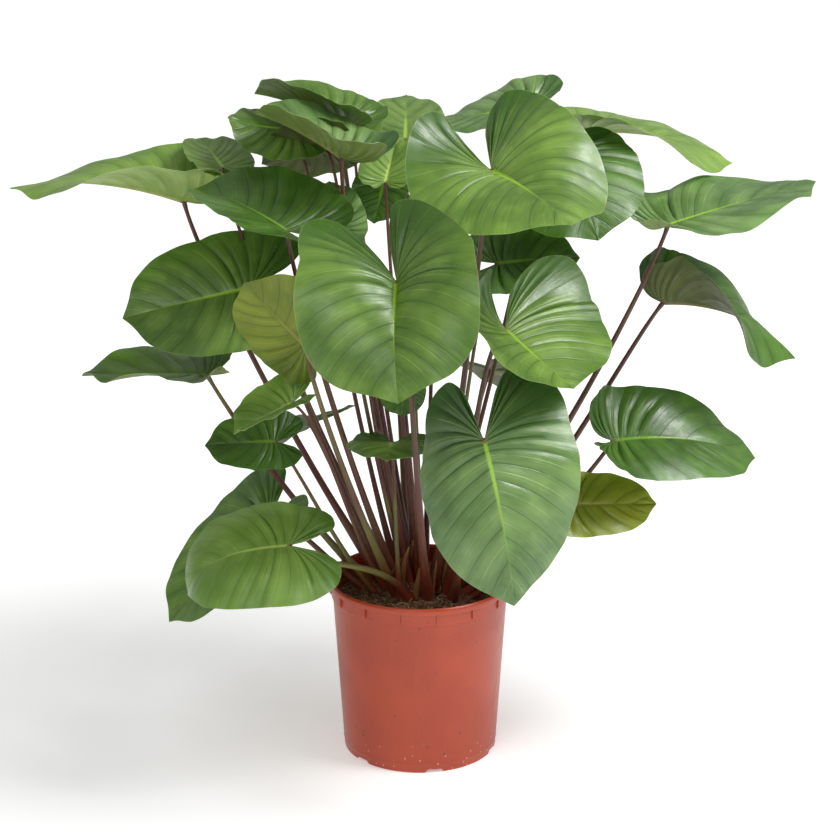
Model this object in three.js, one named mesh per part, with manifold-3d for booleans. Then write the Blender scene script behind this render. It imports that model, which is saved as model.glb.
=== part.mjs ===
// Potted maggy homalomena: an aroid house plant with broad heart-shaped blades in a terracotta-coloured pot.
// Millimetres, +Z up, +X to the right and +Y away from the viewer. The origin is the centre of the pot's
// underside, on the surface that the pot stands on.
import * as THREE from 'three';
import { mergeVertices } from 'three/addons/utils/BufferGeometryUtils.js';
import Module from 'manifold-3d';

// Gap kept between solids that touch
const seatGap = 0.35;

// Pot
const potHeight = 238;
const rimRadius = 120.5;
const lipDepth = 9.5;
const collarDepth = 17;
const collarRadius = 117;
const shoulderRadius = 115;
const footRadius = 101;
const potWall = 2.6;
const footRise = 6;
const footRingWidth = 7;
const floorThickness = 3;
const centrePadRadius = 30;
const potSegments = 36;
const ribCount = 15;
const ribWidth = 2.4;
const ribFirstAngle = -13;
const drainCount = 8;
const drainRadius = 5.5;
const drainCircle = 62;
const notchCount = 6;
const notchWidth = 25;
const notchFirstAngle = 11;

// Soil and the stem base that carries the leaf stalks
const soilTop = 214;
const soilDip = 4;
const crownRadii = [60, 44, 26];
const crownCentre = [0, 12, 195];

// Leaf stalks
const stalkBaseRadius = 4.6;
const stalkTopRadius = 2.3;
const stalkSides = 6;
const stalkSteps = 7;
const stalkBuried = 14;
const stalkNeck = 60;
const stalkBow = 0.12;
const stalkArrive = 0.45;
const stalkSeat = 2.1;

// Leaf blades
const bladeThickness = 1.4;
const marginSteps = 10;
const veinSteps = 3;
const tipReach = 1.04;
const notchPlace = 0.1;
const fanShare = 0.42;
const veinSag = 0.22;
const waveCount = 3;
const lobeGive = 0.7;

// Outline of half a blade, from the stalk's joint round the rear lobe to the tip: place along the margin,
// distance out in half widths, distance along in lobe lengths to the rear and blade lengths to the front
const marginKnots = [
  [0, 0, 0],
  [0.05, 0.07, -0.3],
  [0.12, 0.2, -0.7],
  [0.2, 0.42, -0.985],
  [0.29, 0.7, -0.9],
  [0.39, 0.92, -0.45],
  [0.48, 1, 0.04],
  [0.6, 0.98, 0.34],
  [0.72, 0.85, 0.64],
  [0.83, 0.59, 0.86],
  [0.92, 0.23, 0.965],
  [1, 0, tipReach],
];

// Leaves: at is the point where the stalk meets the blade, root the place of the stalk in the soil, turn the
// compass angle, pitch and roll of the blade, size its length, width and lobe length. Angles are degrees.
// Pairs are the blade's left and right halves, seen from above with the tip ahead.
const leaves = [
  { name: 'front_broad', at: [-27, -255, 702], turn: [-95, -29, -12], size: [152, 237, 95], root: [12, -14],
    bend: 39, lobeBend: [15, -10], fold: [45, 44], tipFold: [13, 2], curl: [-39, -31], skew: 0.4 },
  { name: 'top_broad', at: [85, -150, 812], turn: [-60, -3, -9], size: [165, 226, 103], root: [14, 4],
    bend: 16, lobeBend: [20, 56], fold: [40, 12], tipFold: [-13, 4], curl: [-24, -41], skew: -0.26 },
  { name: 'right_broad', at: [104, -150, 616], turn: [-47, -26, 4], size: [120, 260, 85], root: [30, -4],
    bend: -5, lobeBend: [51, 66], fold: [18, 10], tipFold: [11, 0], curl: [-11, 32], skew: -0.4 },
  { name: 'low_broad', at: [76, -250, 507], turn: [-72, -44, -10], size: [199, 219, 103], root: [40, -14],
    bend: 51, lobeBend: [-10, -3], fold: [4, -27], tipFold: [-22, -19], curl: [-16, -39], skew: -0.18 },
  { name: 'under_small', at: [-35, -45, 437], turn: [-95, 15, 0], size: [70, 114, 40], root: [-26, -20],
    bend: 30, lobeBend: 20, fold: 5, curl: -20 },
  { name: 'low_left_back', at: [-199, 0, 318], turn: [-165, -40, 14], size: [182, 178, 62], root: [-54, 20],
    bend: 10, lobeBend: 10, fold: 15, curl: -20 },
  { name: 'low_left_front', at: [-163, -150, 336], turn: [-172, -2, 18], size: [152, 180, 62], root: [-8, -24],
    bend: 75, bendPower: 2, lobeBend: -10, fold: [5, 12], curl: [-45, -25], bow: -0.13, lift: 0.7 },
  { name: 'left_mid', at: [-273, 0, 513], turn: [-178, 3, 6], size: [154, 145, 36], root: [-54, 36],
    bend: 5, lobeBend: 30, fold: [22, 12], curl: -10, wave: 6 },
  { name: 'left_dark', at: [-184, -45, 438], turn: [180, 0, 32], size: [88, 98, 35], root: [-50, 4],
    bend: 10, fold: 10, curl: -10 },
  { name: 'left_pale', at: [-160, -75, 499], turn: [-165, -22, 0], size: [80, 100, 34], root: [-36, 6],
    bend: 5, fold: [18, 36], curl: -10 },
  { name: 'left_big', at: [-215, 0, 629], turn: [-170, -10, 42], size: [160, 180, 76], root: [-30, 26],
    bend: 5, fold: 10, curl: -20 },
  { name: 'left_under', at: [-142, -105, 583], turn: [-171, 48, -62], size: [106, 145, 48], root: [-24, -4],
    fold: 10 },
  { name: 'left_cup', at: [-163, -78, 721], turn: [147, 24, 0], size: [140, 192, 64], root: [-22, 16],
    bend: 18, lobeBend: 20, fold: [18, 20], curl: [-10, 5] },
  { name: 'far_left', at: [-304, 80, 723], turn: [180, 20, 0], size: [218, 188, 72], root: [-38, 36],
    bend: 30, lobeBend: 30, fold: [48, 46], tipFold: [0, -6], curl: -20, wave: 5 },
  { name: 'upper_left_fold', at: [-162, 60, 822], turn: [185, 0, 0], size: [80, 112, 46], root: [-22, 40],
    bend: -20, fold: [-35, 15] },
  { name: 'top_left_curl', at: [-102, 80, 825], turn: [160, 25, 0], size: [118, 136, 56], root: [-8, 42],
    bend: 20, lobeBend: 30, fold: [45, 28], curl: -20 },
  { name: 'top_centre', at: [-97, -20, 801], turn: [165, 34, 0], size: [120, 140, 80], root: [-10, 24],
    bend: 20, lobeBend: 75, fold: [45, 35], curl: -30 },
  { name: 'top_back', at: [-19, 150, 791], turn: [90, 8, 0], size: [176, 112, 50], root: [4, 42], fold: 4 },
  { name: 'top_ridge', at: [141, 105, 839], turn: [165, -8, 12], size: [122, 120, 45], root: [22, 44],
    bend: 5, lobeBend: 10, fold: [10, 30], tipFold: 0, curl: -15 },
  { name: 'top_right_flat', at: [220, 115, 808], turn: [8, 2, -8], size: [194, 190, 65], root: [36, 40],
    bend: 32, lobeBend: 20, fold: [5, 34], tipFold: [0, -10], curl: -15 },
  { name: 'right_shade', at: [182, 20, 789], turn: [-70, -28, -15], size: [120, 184, 48], root: [30, 28],
    bend: 30, fold: 5, curl: -25 },
  { name: 'far_right', at: [310, -20, 715], turn: [16, 14, 0], size: [196, 185, 62], root: [42, 22],
    bend: 3, lobeBend: [55, 45], fold: [22, 8], tipFold: [8, 4], curl: -15, wave: 7 },
  { name: 'right_curl', at: [312, 25, 603], turn: [3, 2, 0], size: [190, 158, 70], root: [50, 32],
    bend: 50, lobeBend: [95, 90], fold: [50, 60], tipFold: [-10, -55], curl: -10, wave: 4, arrive: 0.7 },
  { name: 'right_low', at: [245, -60, 444], turn: [2, 8, -30], size: [193, 152, 46], root: [46, 0],
    bend: 42, lobeBend: 70, fold: [25, 15], tipFold: 5, curl: -15, wave: 4 },
  { name: 'right_yellow', at: [187, -90, 369], turn: [4, 0, -45], size: [110, 92, 40], root: [54, -12],
    bend: 5, fold: 5, curl: -10 },
  { name: 'back_right', at: [97, -15, 664], turn: [5, 6, -45], size: [103, 100, 44], root: [17, 22],
    bend: 12, fold: 10 },
  { name: 'rear_left', at: [-40, 190, 560], turn: [104, -22, 0], size: [150, 178, 72], root: [-12, 56],
    bend: 30, lobeBend: 15, fold: 12, curl: -20 },
  { name: 'rear_right', at: [95, 170, 470], turn: [62, -18, 0], size: [140, 140, 60], root: [12, 56],
    bend: 30, lobeBend: 15, fold: 12, curl: -20 },
];

// Colours taken from the plant
const colours = {
  pot: 0xb05034,
  soil: 0x33241c,
  crown: 0x6b3d2c,
  stalk: 0x63382c,
  blade: 0x4f7a35,
};

const wasm = await Module();
wasm.setup();

const radians = THREE.MathUtils.degToRad;
const clamp = THREE.MathUtils.clamp;

function makeSolid(geometry) {
  const bare = geometry.clone();
  bare.deleteAttribute('normal');
  bare.deleteAttribute('uv');
  const merged = mergeVertices(bare, 1e-4);
  return new wasm.Manifold(new wasm.Mesh({
    numProp: 3,
    vertProperties: new Float32Array(merged.attributes.position.array),
    triVerts: new Uint32Array(merged.index.array),
  }));
}

function makeGeometry(solid) {
  const mesh = solid.getMesh();
  const geometry = new THREE.BufferGeometry();
  geometry.setAttribute('position', new THREE.BufferAttribute(new Float32Array(mesh.vertProperties), 3));
  geometry.setIndex(new THREE.BufferAttribute(new Uint32Array(mesh.triVerts), 1));
  geometry.computeVertexNormals();
  return geometry;
}

function lathe(profile) {
  const points = profile.map(([radius, height]) => new THREE.Vector2(radius, height));
  const geometry = new THREE.LatheGeometry(points, potSegments);
  return geometry.rotateX(Math.PI / 2);
}

function placeAround(geometry, degrees, radius, height) {
  const angle = radians(degrees - 90);
  geometry.rotateZ(angle);
  geometry.translate(radius * Math.cos(angle), radius * Math.sin(angle), height);
  return makeSolid(geometry);
}

// Radius of the pot's outer wall, which tapers from the shoulder to the foot
function wallRadius(height) {
  const shoulderHeight = potHeight - lipDepth - collarDepth;
  return footRadius + (shoulderRadius - footRadius) * height / shoulderHeight;
}

function buildPot() {
  const lipBottom = potHeight - lipDepth;
  const collarBottom = lipBottom - collarDepth;
  const floorTop = footRise + floorThickness;
  const ringInner = footRadius - footRingWidth;
  let pot = makeSolid(lathe([
    [0, 0],
    [centrePadRadius, 0],
    [centrePadRadius + footRise, footRise],
    [ringInner - footRise, footRise],
    [ringInner, 0],
    [footRadius - 1, 0],
    [footRadius, 1],
    [wallRadius(collarBottom), collarBottom],
    [collarRadius, collarBottom + 1.5],
    [collarRadius + 0.5, lipBottom],
    [rimRadius - 0.6, lipBottom],
    [rimRadius, lipBottom + 1],
    [rimRadius, potHeight - 2],
    [rimRadius - 1.4, potHeight],
    [rimRadius - 4.2, potHeight],
    [collarRadius - potWall, potHeight - 3],
    [collarRadius - potWall, collarBottom + 2],
    [wallRadius(collarBottom) - potWall, collarBottom - 1],
    [wallRadius(floorTop) - potWall, floorTop],
    [0, floorTop],
  ]));
  const ribHeight = collarDepth - 4;
  const ribOut = rimRadius - collarRadius - 0.8;
  for (let i = 0; i < ribCount; i += 1) {
    const rib = new THREE.BoxGeometry(ribOut + 1.5, ribWidth, ribHeight + 1);
    const degrees = ribFirstAngle + i * 360 / ribCount;
    const middle = lipBottom - (ribHeight - 1) / 2;
    pot = pot.add(placeAround(rib, degrees, collarRadius + (ribOut - 1.5) / 2, middle));
  }
  for (let i = 0; i < drainCount; i += 1) {
    const drain = new THREE.CylinderGeometry(drainRadius, drainRadius, 4 * floorThickness, 12);
    drain.rotateX(Math.PI / 2);
    const degrees = i * 360 / drainCount;
    pot = pot.subtract(placeAround(drain, degrees, drainCircle, footRise + floorThickness / 2));
  }
  for (let i = 0; i < notchCount; i += 1) {
    const notch = new THREE.CylinderGeometry(notchWidth / 2 - 3, notchWidth / 2, footRise, 4, 1);
    notch.rotateY(Math.PI / 4);
    notch.rotateX(Math.PI / 2);
    notch.scale(3 * footRingWidth / notchWidth * Math.SQRT2, Math.SQRT2, 1);
    const degrees = notchFirstAngle + i * 360 / notchCount;
    pot = pot.subtract(placeAround(notch, degrees, footRadius - footRingWidth / 2, footRise / 2 - 0.5));
  }
  return makeGeometry(pot);
}

function buildSoil() {
  const bottom = footRise + floorThickness + seatGap;
  const inset = potWall + seatGap;
  return lathe([
    [0, bottom],
    [wallRadius(bottom) - inset, bottom],
    [wallRadius(soilTop) - inset, soilTop - soilDip],
    [wallRadius(soilTop) - inset - 10, soilTop],
    [0, soilTop],
  ]);
}

function crownBody(grow) {
  const body = new THREE.SphereGeometry(1, 16, 8);
  body.scale(crownRadii[0] + grow, crownRadii[1] + grow, crownRadii[2] + grow);
  return makeSolid(body.translate(...crownCentre));
}

// Everything above a level, as one large block
function blockAbove(level) {
  const side = 3000;
  return makeSolid(new THREE.BoxGeometry(side, side, side).translate(0, 0, level + side / 2));
}

function buildCrown() {
  return makeGeometry(crownBody(0).intersect(blockAbove(soilTop + seatGap)));
}

// Smooth curve through the margin's knots
function marginPoint(place) {
  const last = marginKnots.length - 1;
  let i = 0;
  while (i < last - 1 && place >= marginKnots[i + 1][0]) {
    i += 1;
  }
  const slope = (k, axis) => {
    const before = marginKnots[Math.max(k - 1, 0)];
    const after = marginKnots[Math.min(k + 1, last)];
    return (after[axis] - before[axis]) / (after[0] - before[0]);
  };
  const span = marginKnots[i + 1][0] - marginKnots[i][0];
  const u = (place - marginKnots[i][0]) / span;
  return [1, 2].map((axis) => (
    (2 * u ** 3 - 3 * u ** 2 + 1) * marginKnots[i][axis]
    + (u ** 3 - 2 * u ** 2 + u) * span * slope(i, axis)
    + (3 * u ** 2 - 2 * u ** 3) * marginKnots[i + 1][axis]
    + (u ** 3 - u ** 2) * span * slope(i + 1, axis)
  ));
}

// Point on a flat half blade: place runs round the margin, out runs from the midrib along a side vein
function flatPoint(leaf, place, out) {
  const [length, width, lobe] = leaf.size;
  const [across, along] = marginPoint(place);
  const edge = [across * width / 2, along * (along < 0 ? lobe : length)];
  const share = clamp((place - fanShare) / (1 - fanShare), 0, 1);
  const root = tipReach * length * (0.86 * share + 0.14 * share ** 4);
  const dx = edge[0];
  const dy = edge[1] - root;
  const sag = veinSag * clamp((place - 0.18) / 0.3, 0, 1) * clamp((1 - place) / 0.1, 0, 1);
  const bend = [0.45 * dx + sag * dy, root + 0.45 * dy - sag * dx];
  return [0, 1].map((axis) => (
    (1 - out) ** 2 * [0, root][axis] + 2 * out * (1 - out) * bend[axis] + out ** 2 * edge[axis]
  ));
}

function half(value, side) {
  return Array.isArray(value) ? value[side > 0 ? 1 : 0] : value;
}

// Forward run, drop and slope of a midrib that bends down towards its tip
function midribBend(leaf, along) {
  const steps = 16;
  const power = leaf.bendPower ?? 1;
  const total = radians(leaf.bend ?? 0);
  let run = 0;
  let drop = 0;
  for (let i = 0; i < steps; i += 1) {
    const angle = total * (along * (i + 0.5) / steps / leaf.size[0]) ** power;
    run += along / steps * Math.cos(angle);
    drop += along / steps * Math.sin(angle);
  }
  return { run, drop, slope: total * (along / leaf.size[0]) ** power };
}

// Axes of a blade: right across it, ahead along its midrib and up from its upper face
function bladeAxes(leaf) {
  const [yaw, pitch, roll] = leaf.turn.map(radians);
  const ahead = new THREE.Vector3(
    Math.cos(yaw) * Math.cos(pitch),
    Math.sin(yaw) * Math.cos(pitch),
    Math.sin(pitch),
  );
  const level = new THREE.Vector3(
    -Math.cos(yaw) * Math.sin(pitch),
    -Math.sin(yaw) * Math.sin(pitch),
    Math.cos(pitch),
  );
  const aside = ahead.clone().cross(level);
  const right = aside.clone().multiplyScalar(Math.cos(roll)).addScaledVector(level, Math.sin(roll));
  const up = level.clone().multiplyScalar(Math.cos(roll)).addScaledVector(aside, -Math.sin(roll));
  return { right, ahead, up };
}

// Point on the middle surface of a bent blade, with side 1 for its right half and -1 for its left half
function bladePoint(leaf, axes, place, out, side) {
  const [length, width, lobe] = leaf.size;
  const [x, y] = flatPoint(leaf, place, out);
  const share = clamp(y / length, 0, 1);
  const ease = share * share * (3 - 2 * share);
  const fold = half(leaf.fold ?? 0, side);
  const tipFold = half(leaf.tipFold ?? leaf.fold ?? 0, side);
  const angle = radians(fold + (tipFold - fold) * ease);
  const curl = radians(half(leaf.curl ?? 0, side)) / (width / 2);
  let across = x * Math.cos(angle);
  let rise = x * Math.sin(angle);
  if (curl !== 0) {
    across = (Math.sin(angle + curl * x) - Math.sin(angle)) / curl;
    rise = (Math.cos(angle) - Math.cos(angle + curl * x)) / curl;
  }
  const fade = clamp((1 - place) * 6, 0, 1) * clamp(place * 6, 0, 1);
  const wavePhase = 2 * Math.PI * waveCount * place + (side > 0 ? 0 : 1.7);
  rise += (leaf.wave ?? 0) * out ** 2 * Math.sin(wavePhase) * fade;

  const { run, drop, slope } = midribBend(leaf, Math.max(y, 0));
  const behind = Math.max(0.35 * x - y, 0);
  const flatCurve = radians(half(leaf.lobeBend ?? 0, side)) / lobe;
  const lobeCurve = flatCurve / (1 + lobeGive * Math.max(flatCurve, 0) * Math.max(rise, 0));
  let back = behind;
  let lift = 0;
  if (lobeCurve !== 0) {
    back = Math.sin(lobeCurve * behind) / lobeCurve;
    lift = (1 - Math.cos(lobeCurve * behind)) / lobeCurve;
  }
  const tilt = -slope - lobeCurve * behind;
  const along = (y > 0 ? run : y) + behind - back - rise * Math.sin(tilt);
  const height = lift - drop + rise * Math.cos(tilt);
  const sideways = side * across + (leaf.skew ?? 0) * Math.max(-y, 0);
  return new THREE.Vector3(...leaf.at)
    .addScaledVector(axes.right, sideways)
    .addScaledVector(axes.ahead, along)
    .addScaledVector(axes.up, height);
}

// Middle surface of a blade as one indexed sheet whose faces look up
function bladeSheet(leaf) {
  const axes = bladeAxes(leaf);
  const corners = [];
  for (const side of [1, -1]) {
    for (let i = 0; i < marginSteps; i += 1) {
      for (let j = 0; j < veinSteps; j += 1) {
        const place = (step) => notchPlace + (1 - notchPlace) * step / marginSteps;
        const at = (di, dj) => bladePoint(leaf, axes, place(i + di), (j + dj) / veinSteps, side);
        const [a, b, c, d] = [at(0, 0), at(0, 1), at(1, 1), at(1, 0)];
        corners.push(...(side > 0 ? [a, b, c, a, c, d] : [a, c, b, a, d, c]));
      }
    }
  }
  const merged = mergeVertices(new THREE.BufferGeometry().setFromPoints(corners), 1e-3);
  const kept = [];
  for (let i = 0; i < merged.index.count; i += 3) {
    const [a, b, c] = [0, 1, 2].map((k) => merged.index.getX(i + k));
    if (a !== b && b !== c && c !== a) {
      kept.push(a, b, c);
    }
  }
  merged.setIndex(kept);
  merged.computeVertexNormals();
  return merged;
}

// Closed solid of a blade: the sheet moved up and down by half its thickness, joined round the margin
function bladeSolid(leaf, thickness) {
  const sheet = bladeSheet(leaf);
  const count = sheet.attributes.position.count;
  const faces = Array.from(sheet.index.array);
  const points = [];
  for (const offset of [thickness / 2, -thickness / 2]) {
    for (let i = 0; i < count; i += 1) {
      const normal = new THREE.Vector3().fromBufferAttribute(sheet.attributes.normal, i);
      points.push(new THREE.Vector3().fromBufferAttribute(sheet.attributes.position, i)
        .addScaledVector(normal, offset));
    }
  }
  const edges = new Set();
  for (let i = 0; i < faces.length; i += 3) {
    for (const [a, b] of [[0, 1], [1, 2], [2, 0]]) {
      edges.add(`${faces[i + a]} ${faces[i + b]}`);
    }
  }
  const solid = [...faces];
  for (let i = 0; i < faces.length; i += 3) {
    solid.push(faces[i] + count, faces[i + 2] + count, faces[i + 1] + count);
  }
  for (const edge of edges) {
    const [a, b] = edge.split(' ').map(Number);
    if (!edges.has(`${b} ${a}`)) {
      solid.push(a, a + count, b + count, a, b + count, b);
    }
  }
  const geometry = new THREE.BufferGeometry().setFromPoints(points);
  geometry.setIndex(solid);
  geometry.computeVertexNormals();
  return geometry;
}

// Route of a stalk from below the soil to the back of its blade
function stalkCurve(leaf) {
  const { ahead, up } = bladeAxes(leaf);
  const arrive = up.clone().multiplyScalar(0.8).addScaledVector(ahead, leaf.arrive ?? stalkArrive).normalize();
  const end = new THREE.Vector3(...leaf.at).addScaledVector(arrive, -stalkSeat);
  const start = new THREE.Vector3(...leaf.root, soilTop - stalkBuried);
  const way = end.clone().sub(start);
  const share = 1 / 3 + (leaf.bow ?? stalkBow);
  const lift = leaf.lift ?? 1 / 3;
  const first = start.clone().add(new THREE.Vector3(way.x * share, way.y * share, way.z * lift));
  const last = end.clone().addScaledVector(arrive, -(leaf.neck ?? stalkNeck));
  return new THREE.CubicBezierCurve3(start, first, last, end);
}

// Stalk that tapers upwards, cut off where it meets the soil, the stem base and the blade
function buildStalk(leaf, ground, crown) {
  const curve = stalkCurve(leaf);
  const section = new THREE.Shape();
  for (let i = 0; i < stalkSides; i += 1) {
    const angle = i * 2 * Math.PI / stalkSides;
    section[i ? 'lineTo' : 'moveTo'](Math.cos(angle), Math.sin(angle));
  }
  const tube = new THREE.ExtrudeGeometry(section, { steps: stalkSteps, extrudePath: curve });
  const centres = curve.getSpacedPoints(stalkSteps);
  const position = tube.attributes.position;
  const point = new THREE.Vector3();
  for (let i = 0; i < position.count; i += 1) {
    point.fromBufferAttribute(position, i);
    const distances = centres.map((centre) => centre.distanceTo(point));
    const step = distances.indexOf(Math.min(...distances));
    const radius = stalkBaseRadius + (stalkTopRadius - stalkBaseRadius) * step / stalkSteps;
    point.sub(centres[step]).multiplyScalar(radius).add(centres[step]);
    position.setXYZ(i, point.x, point.y, point.z);
  }
  let stalk = makeSolid(tube).intersect(ground).subtract(crown);
  const grownBlade = bladeSolid(leaf, bladeThickness + 2 * seatGap);
  const { right, ahead } = bladeAxes(leaf);
  for (const way of [new THREE.Vector3(), ahead.clone().negate(), right, right.clone().negate()]) {
    const shift = way.clone().multiplyScalar(seatGap);
    const blade = makeSolid(grownBlade.clone().translate(shift.x, shift.y, shift.z));
    if (stalk.intersect(blade).volume() > 0) {
      stalk = stalk.subtract(blade);
    }
  }
  const pieces = stalk.decompose();
  const largest = pieces.reduce((best, piece) => (piece.volume() > best.volume() ? piece : best));
  return makeGeometry(largest);
}

const plant = new THREE.Group();

function addPiece(name, geometry, colour, roughness) {
  const material = new THREE.MeshStandardMaterial({ color: colour, roughness, metalness: 0 });
  const mesh = new THREE.Mesh(geometry, material);
  mesh.name = name;
  plant.add(mesh);
}

addPiece('pot', buildPot(), colours.pot, 0.45);
addPiece('soil', buildSoil(), colours.soil, 0.95);
addPiece('crown', buildCrown(), colours.crown, 0.8);

const ground = blockAbove(soilTop + seatGap);
const crown = crownBody(seatGap);
for (const leaf of leaves) {
  addPiece(`blade_${leaf.name}`, bladeSolid(leaf, bladeThickness), colours.blade, 0.4);
  addPiece(`stalk_${leaf.name}`, buildStalk(leaf, ground, crown), colours.stalk, 0.5);
}

export default plant;
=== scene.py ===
# Potted maggy homalomena: a house plant with broad heart-shaped leaves, in a terracotta-coloured nursery pot.
import math

import bpy
import numpy as np
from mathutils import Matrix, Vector, noise


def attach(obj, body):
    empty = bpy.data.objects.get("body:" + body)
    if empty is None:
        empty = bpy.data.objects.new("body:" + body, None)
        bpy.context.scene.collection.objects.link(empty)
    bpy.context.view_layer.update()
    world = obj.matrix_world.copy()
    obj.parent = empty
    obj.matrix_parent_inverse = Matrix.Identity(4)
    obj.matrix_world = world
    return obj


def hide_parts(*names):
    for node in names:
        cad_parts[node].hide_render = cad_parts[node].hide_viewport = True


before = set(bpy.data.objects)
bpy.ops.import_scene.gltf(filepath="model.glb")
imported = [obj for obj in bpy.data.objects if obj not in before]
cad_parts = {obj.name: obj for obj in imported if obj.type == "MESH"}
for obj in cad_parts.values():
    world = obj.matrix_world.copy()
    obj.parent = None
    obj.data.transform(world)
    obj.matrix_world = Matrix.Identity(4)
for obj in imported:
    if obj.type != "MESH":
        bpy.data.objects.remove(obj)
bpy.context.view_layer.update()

mm = 0.001
body = "root"


def paint(red, green, blue):
    # a screen colour, 0 to 255, as the linear colour that a shader takes
    parts = [value / 255 for value in (red, green, blue)]
    return tuple(p / 12.92 if p <= 0.04045 else ((p + 0.055) / 1.055) ** 2.4 for p in parts) + (1.0,)


def diceFor(name):
    # the same random numbers for the same piece on every run
    return np.random.default_rng(sum(ord(letter) * (i + 3) for i, letter in enumerate(name)))


def smooth(value, low, high):
    share = np.clip((value - low) / (high - low), 0, 1)
    return share * share * (3 - 2 * share)


# Node helpers

def feed(tree, socket, value):
    # links a socket to an output, or sets its own value
    if isinstance(value, bpy.types.NodeSocket):
        tree.links.new(value, socket)
    else:
        socket.default_value = value


def addNode(tree, kind, settings=None, **inputs):
    # inputs called i0, i1 and so on go by their number, the others by their label
    node = tree.nodes.new(kind)
    for key, value in (settings or {}).items():
        setattr(node, key, value)
    for key, value in inputs.items():
        feed(tree, node.inputs[int(key[1:]) if key[1:].isdigit() else key], value)
    return node


def maths(tree, operation, *values):
    node = addNode(tree, "ShaderNodeMath", {"operation": operation})
    for socket, value in zip(node.inputs, values):
        feed(tree, socket, value)
    return node.outputs[0]


def times(tree, one, two):
    return maths(tree, "MULTIPLY", one, two)


def plus(tree, one, two):
    return maths(tree, "ADD", one, two)


def vectorMaths(tree, operation, **inputs):
    return addNode(tree, "ShaderNodeVectorMath", {"operation": operation}, **inputs).outputs[0]


def split(tree, vector):
    return addNode(tree, "ShaderNodeSeparateXYZ", i0=vector).outputs


def stretch(tree, vector, scale):
    return addNode(tree, "ShaderNodeMapping", i0=vector, Scale=scale).outputs[0]


def objectPlace(tree):
    return addNode(tree, "ShaderNodeTexCoord").outputs["Object"]


def ramp(tree, value, low, high, start=0.0, end=1.0):
    node = addNode(tree, "ShaderNodeMapRange", {"interpolation_type": "SMOOTHSTEP"})
    for socket, part in zip(node.inputs, (value, low, high, start, end)):
        feed(tree, socket, part)
    return node.outputs[0]


def blendColours(tree, share, first, second):
    node = addNode(tree, "ShaderNodeMix", {"data_type": "RGBA"}, i0=share, i6=first, i7=second)
    return node.outputs[2]


def layered(tree, colour, layers):
    # lays colours over one another; each layer is a mask, its strength and a colour
    for mask, strength, over in layers:
        colour = blendColours(tree, mask if strength == 1 else times(tree, mask, strength), colour, over)
    return colour


def newTree(kind, name, inputs, outputs):
    # a node group; an input is a label, a type and a default value
    tree = bpy.data.node_groups.new(name, kind)
    for label, socketType, value in inputs:
        socket = tree.interface.new_socket(name=label, in_out="INPUT", socket_type="NodeSocket" + socketType)
        if value is not None:
            socket.default_value = value
    outType = "NodeSocketFloat" if kind == "ShaderNodeTree" else "NodeSocketGeometry"
    for label in outputs:
        tree.interface.new_socket(name=label, in_out="OUTPUT", socket_type=outType)
    return tree, tree.nodes.new("NodeGroupInput").outputs, tree.nodes.new("NodeGroupOutput").inputs


def placeGroup(tree, group, **inputs):
    return addNode(tree, "ShaderNodeGroup", {"node_tree": group}, **inputs).outputs


def newMaterial(name, roughness=0.5, coat=0.0, subsurface=0.0):
    material = bpy.data.materials.new(name)
    material.use_nodes = True
    shader = material.node_tree.nodes["Principled BSDF"]
    shader.inputs["Roughness"].default_value = roughness
    shader.inputs["Coat Weight"].default_value = coat
    shader.inputs["Coat Roughness"].default_value = 0.3
    if subsurface:
        shader.inputs["Subsurface Weight"].default_value = subsurface
        shader.inputs["Subsurface Radius"].default_value = (0.35, 0.8, 0.1)
        shader.inputs["Subsurface Scale"].default_value = 0.004
    return material, material.node_tree, shader


def addBump(tree, shader, height, strength, distance):
    bump = addNode(tree, "ShaderNodeBump", Height=height, Strength=strength, Distance=distance)
    tree.links.new(bump.outputs[0], shader.inputs["Normal"])


def addObject(name, data):
    thing = bpy.data.objects.new(name, data)
    bpy.context.scene.collection.objects.link(thing)
    return thing


# Cloudy mask, used by every finish
mottle, given, out = newTree("ShaderNodeTree", "mottle", [
    ("Vector", "Vector", None), ("Scale", "Float", 20.0), ("Detail", "Float", 4.0),
    ("Low", "Float", 0.35), ("High", "Float", 0.65)], ["Mask"])
cloud = addNode(mottle, "ShaderNodeTexNoise", Vector=given["Vector"], Scale=given["Scale"],
                Detail=given["Detail"])
mottle.links.new(ramp(mottle, cloud.outputs["Fac"], given["Low"], given["High"]), out["Mask"])

# Mask of small spots, used by the pot and the stalks
speckle, given, out = newTree("ShaderNodeTree", "speckle", [
    ("Vector", "Vector", None), ("Scale", "Float", 200.0), ("Size", "Float", 0.2), ("Share", "Float", 0.6)],
    ["Mask"])
cells = addNode(speckle, "ShaderNodeTexVoronoi", Vector=given["Vector"], Scale=given["Scale"])
chosen = addNode(speckle, "ShaderNodeSeparateColor", i0=cells.outputs["Color"])
halfSize = times(speckle, given["Size"], 0.5)
spot = ramp(speckle, cells.outputs["Distance"], halfSize, given["Size"], 1.0, 0.0)
kept = maths(speckle, "GREATER_THAN", chosen.outputs[0], given["Share"])
speckle.links.new(times(speckle, spot, kept), out["Mask"])


def cloudMask(tree, vector, scale, detail, low, high):
    return placeGroup(tree, mottle, Vector=vector, Scale=scale, Detail=detail, Low=low, High=high)["Mask"]


def spotMask(tree, vector, scale, size, share):
    return placeGroup(tree, speckle, Vector=vector, Scale=scale, Size=size, Share=share)["Mask"]


# Veins of a leaf. Pattern is (vein number, share of the way out); Leaf is (mm from the midrib, share of the
# way to the tip, mm between side veins)
veins, given, out = newTree("ShaderNodeTree", "veins", [
    ("Pattern", "Vector", None), ("Leaf", "Vector", None), ("Line width", "Float", 1.0),
    ("Midrib width", "Float", 2.6)], ["Line", "Between", "Ridge", "Fine", "Midrib", "Joint", "Margin"])
number, outward = split(veins, given["Pattern"])[:2]
aside, toTip, spacing = split(veins, given["Leaf"])
fromRib = maths(veins, "ABSOLUTE", aside)


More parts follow.
